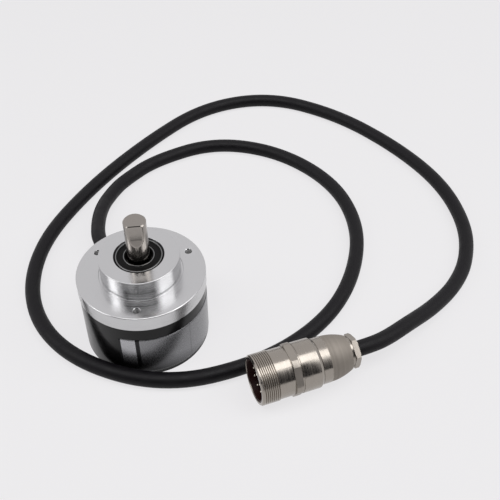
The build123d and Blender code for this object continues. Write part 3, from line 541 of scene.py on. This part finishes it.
class EncoderShaftSettings(bpy.types.PropertyGroup):
    """Finish of the shaft and the bearing."""
    steel: colour_property("Steel", "Colour of the ground shaft", (0.33, 0.305, 0.28))
    steel_roughness: share_property("Steel roughness", "How dull the shaft is", 0.15)
    ring: colour_property("Ring steel", "Colour of the bearing rings", (0.2, 0.2, 0.2))


class EncoderConnectorSettings(bpy.types.PropertyGroup):
    """Sizes and finish of the round connector."""
    nickel: colour_property("Nickel", "Colour of the plated pieces", (0.35, 0.32, 0.285))
    nickel_roughness: share_property("Nickel roughness", "How dull the polished pieces are", 0.2)
    satin_roughness: share_property("Satin roughness", "How dull the backshell is", 0.75)
    pitch: length_property("Thread pitch", "Distance between turns of the outer thread", 0.0009)
    insulator: colour_property("Insulator", "Colour of the insert in the mouth", (0.022, 0.0045, 0.0035))


class EncoderCableSettings(bpy.types.PropertyGroup):
    """Size and finish of the cable."""
    length: length_property("Length", "Length of the cable from gland to connector", 1.007)
    diameter: length_property("Diameter", "Outer diameter of the jacket", 0.0074)
    jacket: colour_property("Jacket", "Colour of the jacket", (0.0054, 0.0048, 0.0062))
    jacket_roughness: share_property("Jacket roughness", "How dull the jacket is", 0.5)


class EncoderStageSettings(bpy.types.PropertyGroup):
    """Background and light."""
    background: colour_property("Background", "Colour of the floor and the background", (0.84, 0.83, 0.845))
    paper: colour_property("Paper", "Colour of the floor that the lamps light", (0.80, 0.80, 0.80))
    sky: share_property("Even light", "Strength of the light from all sides", 0.5)


# Pieces


class PieceOperator:
    """What the operators share: each can be undone."""
    bl_options = {"REGISTER", "UNDO"}


class ENCODER_OT_flange(PieceOperator, bpy.types.Operator):
    """Make the turned flange with its pilot and tapped holes"""
    bl_idname = "encoder.make_flange"
    bl_label = "Flange"

    def execute(self, context):
        settings = context.scene.encoder_housing
        pilot_radius, flange_radius, lead_in = 18.0, 29.0, 11.35
        undercut, undercut_radius = FLANGE_TOP - 0.4, 18.9
        ring_inner, ring_outer = 21.4, 26.6
        hole_radius, hole_angles = 1.5, np.radians([0, 120, 240])
        body = turned(UPRIGHT, [
            (FLANGE_TOP, ring_inner), (FLANGE_TOP, undercut_radius, 0.1), (undercut, undercut_radius, 0.1),
            (undercut, pilot_radius, 0.1), (PILOT_TOP, pilot_radius, 0.3), (PILOT_TOP, lead_in, 0.1),
            (47.5, BEARING_RADIUS, 0.1), (COVER_TOP, BEARING_RADIUS), (COVER_TOP, flange_radius, 0.2),
            (FLANGE_TOP, flange_radius, 0.45), (FLANGE_TOP, ring_outer),
        ], closed=False, columns=360)
        face = Spindle((0, 0, FLANGE_TOP), (0, 0, 1), (1, 0, 0))
        ring = holed_ring(
            face, ring_inner, ring_outer, HOLE_CIRCLE,
            [(0, 1.85), (0, 1.75), (-0.27, hole_radius), (-6.0, hole_radius), (-6.5, 0)], hole_angles, 6,
        )
        # Inside the lead-in's radius, round the bearing, the aluminium is darkened as painted shade
        material = turned_metal(
            "turned_aluminium", settings.aluminium, settings.aluminium_roughness, UPRIGHT,
            groove=settings.groove / MM, relief=0.3e-6, painted_shade_within=lead_in - 0.05,
        )
        add_piece("flange_turned", [body, *ring], material, "flange")
        threads = [
            thread(UPRIGHT.beside(FLANGE_TOP, HOLE_CIRCLE, angle), -5.7, -0.25, hole_radius, pitch=0.5,
                   depth=0.24, columns=32, per_pitch=6, inside=True)
            for angle in hole_angles
        ]
        # The threads of the tapped holes are dark grey instead of the flange's aluminium: painted shade
        # inside the holes
        tapped = plain_metal("tapped_aluminium_painted_shade", (0.16, 0.16, 0.16), 0.4)
        add_piece("flange_threads", threads, tapped, sharp=40)
        return {"FINISHED"}


class ENCODER_OT_cover(PieceOperator, bpy.types.Operator):
    """Make the black cover with its cable outlet"""
    bl_idname = "encoder.make_cover"
    bl_label = "Cover"

    def execute(self, context):
        settings = context.scene.encoder_housing
        ring_inner, ring_outer = 20.4, 26.6
        wall_inside, floor_top = 27.0, 2.0
        middle = turned(UPRIGHT, [(0, 0), (0, ring_inner)], closed=False, columns=360)
        can = turned(UPRIGHT, [
            (0, ring_outer), (0, COVER_RADIUS, 0.3), (COVER_TOP, COVER_RADIUS, 0.15),
            (COVER_TOP, wall_inside), (floor_top, wall_inside), (floor_top, 0),
        ], closed=False, columns=360, steps=6)
        holes = holed_ring(
            REAR, ring_inner, ring_outer, SCREW_CIRCLE,
            [(0, 2.45), (0, 2.4), (-1.3, 1.25), (-1.6, 1.25), (-1.6, 0)], -np.radians([30, 150, 270]), 8,
        )
        boss = turned(
            OUTLET, [(25.5, 0), (25.5, 8.2), (29.4, 8.2, 0.3), (29.4, 0)], closed=False, columns=96,
        )
        material = lacquer("black_coating", settings.coating, settings.coating_roughness)
        add_piece("cover_can", [middle, can, *holes, boss], material, "cover")
        return {"FINISHED"}


def foil_patch(low, high, start, sweep, radius, corner, columns=160, rows=24):
    """A rectangle wrapped on a cylinder, with rounded corners.

    Column s, an arc length, runs from low + c to high - c. Within a corner's length of either end c is
    corner - sqrt(corner^2 - (corner - s)^2), and elsewhere it is 0.
    """
    length = radius * sweep
    ends = corner * (1 - np.cos(np.linspace(0, np.pi / 2, 8)))
    arc = np.concatenate([ends, np.linspace(corner, length - corner, columns)[1:-1], length - ends[::-1]])
    gap = np.clip(corner - np.minimum(arc, length - arc), 0, corner)
    cut = corner - np.sqrt(corner ** 2 - gap ** 2)
    share, arcs = np.meshgrid(np.linspace(0, 1, rows), arc, indexing="ij")
    along = low + cut + share * (high - low - 2 * cut)
    grid = UPRIGHT.place(along, np.full_like(along, radius), start + arcs / radius)
    uv = np.stack([arcs / length, (along - low) / (high - low)], -1)
    return grid, None, uv


class ENCODER_OT_label(PieceOperator, bpy.types.Operator):
    """Make the blank foil label round the cover"""
    bl_idname = "encoder.make_label"
    bl_label = "Label"

    def execute(self, context):
        settings = context.scene.encoder_housing
        patch = foil_patch(
            low=1.9, high=24.0, start=np.radians(221.0), sweep=np.radians(134.0), radius=COVER_RADIUS + 0.12,
            corner=0.8,
        )
        label = mesh_piece("label_foil", [patch])
        wall = label.modifiers.new("Wall", "SOLIDIFY")
        wall.thickness = 0.1 * MM
        wall.offset = -1
        finish = Finish("label_foil", settings.foil, 0.38, 0.75)
        uv = finish.node("ShaderNodeUVMap", uv_map="UVMap").outputs["UV"]
        places = finish.node("ShaderNodeSeparateXYZ", {"Vector": uv})
        across, upward = places.outputs["X"], places.outputs["Y"]
        field = finish.node("ShaderNodeValToRGB", {"Fac": across})
        field.color_ramp.interpolation = "CONSTANT"
        foil = settings.foil
        black = (0.012, 0.012, 0.013)
        stops = [
            (0.0, black), (0.013, [1.9 * c for c in foil]), (0.11, black), (0.14, foil),
            (0.50, [0.72 * c for c in foil]), (0.507, foil),
        ]
        while len(field.color_ramp.elements) < len(stops):
            field.color_ramp.elements.new(0.5)
        for element, (place, color) in zip(field.color_ramp.elements, stops):
            element.position = place
            element.color = (*color, 1)
        # Painted shade and a painted dark reflection of the cable: the foil goes to black towards its lower
        # left
        painted_shade_fade = finish.spread(finish.math("ADD", across, upward), 0.02, 1.0, 0.3, 0.78)
        finish.link(finish.mixed_color(painted_shade_fade, (*black, 1), field.outputs["Color"]), "Base Color")
        brushed = finish.node("ShaderNodeVectorMath", {0: uv, 1: (90, 6, 1)}, operation="MULTIPLY")
        brush = finish.noise(brushed.outputs[0], 3.0, detail=3.0)
        finish.link(finish.spread(brush, 0.22, 0.34), "Roughness")
        finish.bump(finish.noise(finish.coordinates(), 1500, detail=1.0), 0.8e-6)
        give(label, finish.material, "type_label")
        return {"FINISHED"}


class ENCODER_OT_bearing(PieceOperator, bpy.types.Operator):
    """Make the rings and the seal of the bearing that shows in the pilot"""
    bl_idname = "encoder.make_bearing"
    bl_label = "Bearing"

    def execute(self, context):
        settings = context.scene.encoder_shaft
        # The inner ring's bore and the inner edge of its faces, inside 6.55, are darkened as painted shade
        steel = turned_metal("bearing_rings", settings.ring, 0.2, UPRIGHT, relief=0.2e-6, painted_shade_within=6.55)
        inner_edge, outer_edge, lip = 6.95, 9.9, 7.03
        outer = turned(UPRIGHT, [
            (BEARING_LOW, outer_edge), (BEARING_LOW, BEARING_RADIUS, 0.3),
            (BEARING_TOP, BEARING_RADIUS, 0.35), (BEARING_TOP, outer_edge, 0.12),
        ])
        add_piece("bearing_outer_ring", [outer], steel, "front_bearing_outer_ring")
        inner = turned(UPRIGHT, [
            (BEARING_LOW, BEARING_BORE), (BEARING_LOW, inner_edge), (BEARING_TOP, inner_edge, 0.12),
            (BEARING_TOP, BEARING_BORE, 0.3),
        ])
        add_piece("bearing_inner_ring", [inner], steel, "front_bearing_inner_ring",
                  body="rotor")
        seal = turned(UPRIGHT, [
            (47.15, lip), (47.15, outer_edge), (47.85, outer_edge), (47.85, 9.35), (47.65, 9.15),
            (47.65, 7.75), (47.8, 7.55), (47.8, lip),
        ])
        far_seal = turned(UPRIGHT, [(43.15, lip), (43.15, outer_edge), (43.85, outer_edge), (43.85, lip)])
        rubber = moulded("bearing_seal", (0.0025, 0.0024, 0.0024), 0.5, Specular_IOR_Level=0.13)
        add_piece("bearing_seals", [seal, far_seal], rubber, "front_bearing_seals")
        return {"FINISHED"}


class ENCODER_OT_shaft(PieceOperator, bpy.types.Operator):
    """Make the shaft with its flat"""
    bl_idname = "encoder.make_shaft"
    bl_label = "Shaft"

    def execute(self, context):
        settings = context.scene.encoder_shaft
        flat_start, flat_distance, radius = 60.2, 3.85, 5.0
        runout, edge_start, end = 3.2, 67.9, 68.2
        half = np.arccos(flat_distance / radius)
        angles = np.concatenate([
            np.linspace(-half, half, 25), np.linspace(half, FULL_TURN - half, 169)[1:],
        ])

        def flat(along, angle):
            """Radius of the flat's plane, distance / cos(angle), on the side where the cosine is above 0.

            The distance grows to the full radius over the runout below, and shrinks along the broken edge.
            """
            out = (radius - flat_distance) * np.clip((flat_start - along) / runout, 0, 1)
            distance = flat_distance + out - np.clip(along - edge_start, 0, None)
            return distance / np.maximum(np.cos(angle), 1e-6)

        spindle = Spindle((0, 0, 0), (0, 0, 1), (np.cos(FLAT_ANGLE), np.sin(FLAT_ANGLE), 0))
        slope = [(place, radius, 0) for place in np.linspace(flat_start - runout, flat_start, 13)]
        patch = turned(spindle, [
            (17.0, 0), (17.0, 4.0, 0.3), (25.9, 4.0), (25.9, BEARING_BORE), (26.75, BEARING_BORE),
            (26.75, 5.6), (27.8, 5.6), (27.8, BEARING_BORE), (32.8, BEARING_BORE), (32.8, 6.9),
            (BEARING_LOW, 6.9), (BEARING_LOW, BEARING_BORE), (46.0, BEARING_BORE, 0.2), (46.0, radius, 0.2),
            *slope, (67.65, radius, 0), (edge_start, radius - 0.23, 0), (end, radius - 0.5, 0), (end, 0),
        ], closed=False, angles=angles, limit=flat)
        # Below 46.6 the shaft, with its shoulder under the bearing, is darkened as painted shade
        material = turned_metal(
            "shaft_steel", settings.steel, settings.steel_roughness, UPRIGHT, groove=0.3, relief=0.05e-6,
            anisotropy=0.2, smudge=0.04, painted_shade_below=46.6,
        )
        add_piece("shaft_ground", [patch], material, "shaft", body="rotor", sharp=18)
        return {"FINISHED"}


class ENCODER_OT_gland(PieceOperator, bpy.types.Operator):
    """Make the cable gland at the outlet"""
    bl_idname = "encoder.make_gland"
    bl_label = "Cable gland"

    def execute(self, context):
        settings = context.scene.encoder_connector
        material = turned_metal(
            "gland_nickel", settings.nickel, settings.nickel_roughness, OUTLET, anisotropy=0.3,
        )
        apothem, corners, bore, tail = 7.0, 8.1, 4.1, 5.4
        body = turned(OUTLET, [
            (22.0, bore), (22.0, 5.9), (29.4, 5.9), (29.4, 7.6, 0.05), (29.9, corners, 0.05),
            (32.3, corners, 0.05), (32.8, 7.6, 0.05), (32.8, tail), (37.8, tail), (37.8, 4.6), (32.8, 4.6),
            (32.8, bore),
        ], columns=144, limit=hexagon(apothem, above=29.35, below=32.85))
        add_piece("gland_body_hex", [body], material, "gland_body", sharp=20)
        nut = turned(OUTLET, [
            (33.4, tail), (33.4, 7.6, 0.05), (33.9, corners, 0.05), (39.4, corners, 0.3), (40.6, 7.1, 1.0),
            (41.6, 5.6, 0.8), (42.0, 4.6, 0.2), (42.0, bore), (37.8, bore), (37.8, tail),
        ], columns=144, limit=hexagon(apothem))
        add_piece("gland_nut_hex", [nut], material, "gland_nut", sharp=20)
        return {"FINISHED"}


class ENCODER_OT_connector(PieceOperator, bpy.types.Operator):
    """Make the metal pieces of the round connector"""
    bl_idname = "encoder.make_connector"
    bl_label = "Connector"

    def execute(self, context):
        settings = context.scene.encoder_connector
        polished = turned_metal(
            "nickel_polished", settings.nickel, settings.nickel_roughness, CONNECTOR, groove=0.1,
            relief=0.12e-6, anisotropy=0.4, bands=[(15.5, 18.7, 0.42)],
        )
        satin = turned_metal(
            "nickel_satin", settings.nickel, settings.satin_roughness, CONNECTOR, groove=0.12,
            relief=0.4e-6, anisotropy=0.3, bands=[(25.0, 33.2, settings.nickel_roughness)],
        )
        shell_radius, thread_start, thread_end = 11.4, 0.8, 8.4
        seat, collar_start, collar_end = 9.9, 15.5, 18.8
        shell = turned(CONNECTOR, [
            (thread_end, shell_radius, 0), (thread_end, 11.05, 0), (collar_start, 11.05, 0),
            (collar_start, seat), (24.0, seat), (24.0, 8.8), (9.4, 8.8), (9.4, 9.8), (0, 9.8, 0.15),
            (0, 10.8, 0.1), (0.6, shell_radius, 0.1), (thread_start, shell_radius, 0),
        ], closed=False, columns=160)
        pitch = settings.pitch / MM
        outer_thread = thread(CONNECTOR, thread_start, thread_end, shell_radius, pitch, depth=0.42)
        add_piece("connector_shell_threaded", [shell, outer_thread], polished,
                  "connector_shell", sharp=35)
        barrel = turned(CONNECTOR, [
            (collar_start, seat), (collar_start, 12.2, 0.3), (collar_end, 12.2, 0.25), (collar_end, 11.1),
            (19.5, 11.1), (19.5, 11.4, 0.15), (27.8, 11.4, 0.3), (29.2, 10.4, 0.1), (29.2, 9.0), (24.0, 9.0),
            (24.0, seat),
        ], limit=hexagon(11.3, 58.0, below=collar_end + 1e-6))
        add_piece("connector_barrel_turned", [barrel], polished, "connector_barrel",
                  sharp=16)
        share = np.linspace(0, 1, 15)[1:-1]
        curve = [(33.3 + 11.1 * t, 10.35 - 2.45 * t + 2.6 * t * (1 - t), 6.0) for t in share]
        backshell = turned(CONNECTOR, [
            (29.2, 9.0), (29.2, 10.5, 0.15), (33.3, 10.5, 0.1), (33.3, 10.35, 0.1), *curve,
            (44.4, 7.9, 0.6), (44.4, 6.4), (32.5, 6.4), (32.5, 5.2), (30.9, 5.2), (30.9, 7.4), (25.2, 7.4),
            (25.2, 9.0),
        ], columns=160)
        add_piece("connector_backshell_turned", [backshell], satin, "connector_backshell")
        bore, hexagon_start, corners, end = 4.1, 45.7, 7.97, 48.2
        nut = turned(CONNECTOR, [
            (39.5, bore), (39.5, 6.4), (44.4, 6.4), (44.4, 6.7), (hexagon_start, 6.7),
            (hexagon_start, 7.67, 0.05), (45.9, corners, 0.05), (47.8, corners, 0.1), (end, 7.37, 0.1),
            (end, bore, 0.2),
        ], columns=144, limit=hexagon(6.9, 35.0, above=hexagon_start - 1e-6))
        add_piece("clamp_nut_hex", [nut], polished, "clamp_nut", sharp=20)
        # The skirt reaches to 0.35 from the mouth and lines the metal bore there; its dark colour is painted
        # shade in the bore
        insert = turned(CONNECTOR, [
            (8.2, 0), (8.2, 9.0), (0.35, 9.0), (0.35, 9.79), (9.4, 9.79), (9.4, 8.8), (20.0, 8.8), (20.0, 0),
        ], closed=False, columns=144)
        key = prism(CONNECTOR, [(-0.8, 8.3), (0.8, 8.3), (0.8, 9.2), (-0.8, 9.2)], 1.5, 8.3)
        insulator = moulded("connector_insulator", settings.insulator, 0.5, Specular_IOR_Level=0.2)
        add_piece("connector_insert_moulded", [insert, key], insulator, "connector_insert",
                  sharp=35)
        pins = [
            turned(CONNECTOR.beside(0, circle, angle), [(2.2, 0), (2.2, 0.5, 0.3), (20.0, 0.5), (20.0, 0)],
                   closed=False, columns=24)
            for circle, count in ((6.3, 9), (2.6, 3)) for angle in np.radians(5.0) + even_angles(count)[:-1]
        ]
        plating = plain_metal("contact_plating", (0.93, 0.86, 0.74), 0.3)
        add_piece("connector_pins_turned", pins, plating, "connector_pins")
        return {"FINISHED"}


class ENCODER_OT_cable(PieceOperator, bpy.types.Operator):
    """Make the cable from the gland to the connector"""
    bl_idname = "encoder.make_cable"
    bl_label = "Cable"

    def execute(self, context):
        settings = context.scene.encoder_cable
        curve = bpy.data.curves.new("cable_jacket", "CURVE")
        curve.dimensions = "3D"
        curve.resolution_u = 12
        curve.bevel_depth = settings.diameter / 2
        curve.bevel_resolution = 6
        curve.use_fill_caps = True
        spline = curve.splines.new("NURBS")
        spline.points.add(len(CABLE_ROUTE) - 1)
        route = np.hstack([np.array(CABLE_ROUTE, float) * MM, np.ones((len(CABLE_ROUTE), 1))])
        spline.points.foreach_set("co", route.ravel())
        spline.order_u = 3
        spline.use_endpoint_u = True
        cable = bpy.data.objects.new("cable_jacket", curve)
        context.scene.collection.objects.link(cable)
        jacket = moulded(
            "cable_jacket", settings.jacket, settings.jacket_roughness, tooth=2500, relief=8e-6,
            Specular_IOR_Level=0.2,
        )
        give(cable, jacket, "cable")
        dress(["encoder_cable_end", "connector_cable_end"], jacket)
        return {"FINISHED"}


class ENCODER_OT_inner_pieces(PieceOperator, bpy.types.Operator):
    """Give the pieces inside the encoder and the connector their finishes"""
    bl_idname = "encoder.finish_inner_pieces"
    bl_label = "Inner pieces"

    def execute(self, context):
        steel = context.scene.encoder_shaft.ring
        nickel = context.scene.encoder_connector.nickel
        finishes = {
            plain_metal("ground_steel", steel, 0.22): [
                "front_bearing_balls", "rear_bearing_balls", "rear_bearing_inner_ring",
                "rear_bearing_outer_ring",
            ],
            plain_metal("plated_steel", (0.55, 0.55, 0.56), 0.35): [
                "preload_washer", "bore_retaining_ring", "shaft_retaining_ring", "hub_screws",
                "clamp_screws", "cover_screws", "lamp_leads",
            ],
            plain_metal("plated_brass", nickel, 0.3): [
                "lower_standoffs", "upper_standoffs", "gland_lock_nut", "cable_collet",
            ],
            plain_metal("hub_aluminium", (0.78, 0.78, 0.79), 0.35): ["disc_hub", "disc_clamp"],
            plain_metal("etched_sheet", (0.6, 0.6, 0.62), 0.25): ["code_disc", "scanning_mask"],
            moulded("black_rubber", (0.014, 0.014, 0.015), 0.55): [
                "cover_seal", "rear_bearing_seals", "gland_o_ring", "gland_seal", "connector_cable_seal",
            ],
            moulded("black_moulding", (0.02, 0.02, 0.021), 0.45): [
                "sensor_chip", "mask_holder", "lamp_housing", "lamp_die", "board_chips", "wire_header",
            ],
            moulded("bearing_cage", (0.68, 0.62, 0.48), 0.5): ["front_bearing_cage", "rear_bearing_cage"],
            moulded("board_mask", (0.015, 0.14, 0.05), 0.35): ["circuit_board"],
            moulded("core_insulation", (0.7, 0.7, 0.66), 0.5): ["encoder_cores", "connector_cores"],
            moulded("clear_lens", (0.9, 0.92, 0.95), 0.08, tooth=300, relief=1e-6,
                    Transmission_Weight=1.0): ["lamp_lens"],
        }
        for material, nodes in finishes.items():
            dress(nodes, material)
        return {"FINISHED"}


# Stage


def pale_background(tree, light, pale):
    """Joins two shaders so that camera, glossy and transmission rays meet the pale one."""
    path = add_node(tree, "ShaderNodeLightPath")
    seen = path.outputs["Is Camera Ray"]
    for ray in ("Is Glossy Ray", "Is Transmission Ray"):
        either = add_node(tree, "ShaderNodeMath", {0: seen, 1: path.outputs[ray]}, operation="MAXIMUM")
        seen = either.outputs[0]
    return add_node(tree, "ShaderNodeMixShader", {0: seen, 1: light, 2: pale}).outputs[0]


def sky_direction(azimuth, elevation):
    """Unit vector from the encoder towards an azimuth (0 is -Y, 90 is +X) and an elevation, in degrees."""
    turn, rise = np.radians(azimuth), np.radians(elevation)
    return Vector((np.sin(turn) * np.cos(rise), -np.cos(turn) * np.cos(rise), np.sin(rise)))


def soft_box(name, azimuth, elevation, size, power, distance=1.1):
    """A rectangular lamp of so many metres and watts that faces the encoder and its cable."""
    lamp = bpy.data.lights.new(name, "AREA")
    lamp.shape = "RECTANGLE"
    lamp.size, lamp.size_y = size
    lamp.energy = power
    holder = bpy.data.objects.new(name, lamp)
    way = sky_direction(azimuth, elevation)
    aim = Vector((0.05, 0, 0.02))
    holder.location = aim + way * distance
    holder.rotation_euler = way.to_track_quat("Z", "Y").to_euler()
    holder.visible_camera = False
    bpy.context.scene.collection.objects.link(holder)


def dark_card(name, azimuth, sweep, low, high, distance, material):
    """A curved dark card that only gloss sees: a strip of a cylinder round the encoder.

    It spans azimuth - sweep / 2 to azimuth + sweep / 2, and distance * tan(low) to distance * tan(high).
    """
    angles = np.radians(np.linspace(azimuth - sweep / 2, azimuth + sweep / 2, 25))
    heights = distance * np.tan(np.radians([low, high]))
    height, angle = np.meshgrid(heights, angles, indexing="ij")
    grid = np.stack([distance * np.sin(angle), -distance * np.cos(angle), height], -1) / MM
    card = mesh_piece(name, [(grid, None, blank_uv(grid))])
    paint(card, material)
    card.visible_camera = card.visible_diffuse = card.visible_shadow = card.visible_transmission = False


class ENCODER_OT_stage(PieceOperator, bpy.types.Operator):
    """Make the floor, the background, the light and the camera"""
    bl_idname = "encoder.make_stage"
    bl_label = "Stage"

    def execute(self, context):
        settings = context.scene.encoder_stage
        pale = (*settings.background, 1)
        reach = 4 / MM
        grid = np.array([
            [(-reach, -reach, 0), (reach, -reach, 0)], [(-reach, reach, 0), (reach, reach, 0)],
        ])
        floor = mesh_piece("floor", [(grid, None, blank_uv(grid))])
        floor.data.flip_normals()
        paper = Finish("floor_paper", settings.paper, 0.9, Specular_IOR_Level=0.1)
        light = paper.shader.outputs[0]
        glow = paper.node("ShaderNodeEmission", {"Color": pale, "Strength": 1.14})
        lit = paper.node("ShaderNodeMixShader", {0: 0.75, 1: light, 2: glow.outputs[0]})
        surface = pale_background(paper.tree, light, lit.outputs[0])
        paper.tree.links.new(surface, paper.tree.nodes["Material Output"].inputs[0])
        paint(floor, paper.material)

        world = bpy.data.worlds.new("studio")
        world.use_nodes = True
        tree = world.node_tree
        light = tree.nodes["Background"]
        light.inputs["Strength"].default_value = settings.sky
        backdrop = add_node(tree, "ShaderNodeBackground", {"Color": pale})
        surface = pale_background(tree, light.outputs[0], backdrop.outputs[0])
        tree.links.new(surface, tree.nodes["World Output"].inputs[0])
        context.scene.world = world

        soft_box("overhead_box", azimuth=-10, elevation=80, size=(1.1, 0.64), power=5.3)
        soft_box("left_box", azimuth=-110, elevation=44, size=(0.36, 0.7), power=1.9)
        soft_box("right_box", azimuth=47, elevation=44, size=(0.7, 0.6), power=2.45)

        dark = Finish("black_card", (0.05, 0.05, 0.053), 0.9).material
        dark_card("front_card", azimuth=-33, sweep=96, low=2, high=56, distance=0.9, material=dark)

        camera = bpy.data.objects.new("camera", bpy.data.cameras.new("camera"))
        camera.data.sensor_width = 36
        camera.data.lens = 60.03
        forward = Vector((0.36657, 0.61738, -0.69603))
        right = Vector((0.85985, -0.51054, 0.0))
        up = right.cross(forward)
        roll = -0.0069
        side = right * np.cos(roll) + up * np.sin(roll)
        above = up * np.cos(roll) - right * np.sin(roll)
        stand = Vector((-91.507, -249.761, 303.991)) * MM
        turn = Matrix([side, above, -forward]).transposed()
        camera.matrix_world = Matrix.Translation(stand) @ turn.to_4x4()
        context.scene.collection.objects.link(camera)
        context.scene.camera = camera
        context.scene.view_settings.view_transform = "Standard"
        return {"FINISHED"}


class ENCODER_PT_panel(bpy.types.Panel):
    """Sidebar panel with the settings and the steps"""
    bl_idname = "ENCODER_PT_panel"
    bl_label = "Rotary encoder"
    bl_space_type = "VIEW_3D"
    bl_region_type = "UI"
    bl_category = "Encoder"

    def draw(self, context):
        for group in GROUPS:
            settings = getattr(context.scene, group)
            box = self.layout.box()
            for name in settings.__annotations__:
                box.prop(settings, name)
        for step in STEPS:
            self.layout.operator(step.bl_idname)


GROUPS = {
    "encoder_housing": EncoderHousingSettings,
    "encoder_shaft": EncoderShaftSettings,
    "encoder_connector": EncoderConnectorSettings,
    "encoder_cable": EncoderCableSettings,
    "encoder_stage": EncoderStageSettings,
}
STEPS = (
    ENCODER_OT_flange, ENCODER_OT_cover, ENCODER_OT_label, ENCODER_OT_bearing, ENCODER_OT_shaft,
    ENCODER_OT_gland, ENCODER_OT_connector, ENCODER_OT_cable, ENCODER_OT_inner_pieces, ENCODER_OT_stage,
)
CLASSES = (*GROUPS.values(), *STEPS, ENCODER_PT_panel)


def register():
    for kind in CLASSES:
        bpy.utils.register_class(kind)
    for group, kind in GROUPS.items():
        setattr(bpy.types.Scene, group, bpy.props.PointerProperty(type=kind))


def unregister():
    for group in GROUPS:
        delattr(bpy.types.Scene, group)
    for kind in reversed(CLASSES):
        bpy.utils.unregister_class(kind)


def main():
    """Makes every piece in order."""
    register()
    bpy.ops.encoder.make_flange()
    bpy.ops.encoder.make_cover()
    bpy.ops.encoder.make_label()
    bpy.ops.encoder.make_bearing()
    bpy.ops.encoder.make_shaft()
    bpy.ops.encoder.make_gland()
    bpy.ops.encoder.make_connector()
    bpy.ops.encoder.make_cable()
    bpy.ops.encoder.finish_inner_pieces()
    bpy.ops.encoder.make_stage()


if __name__ == "__main__":
    main()
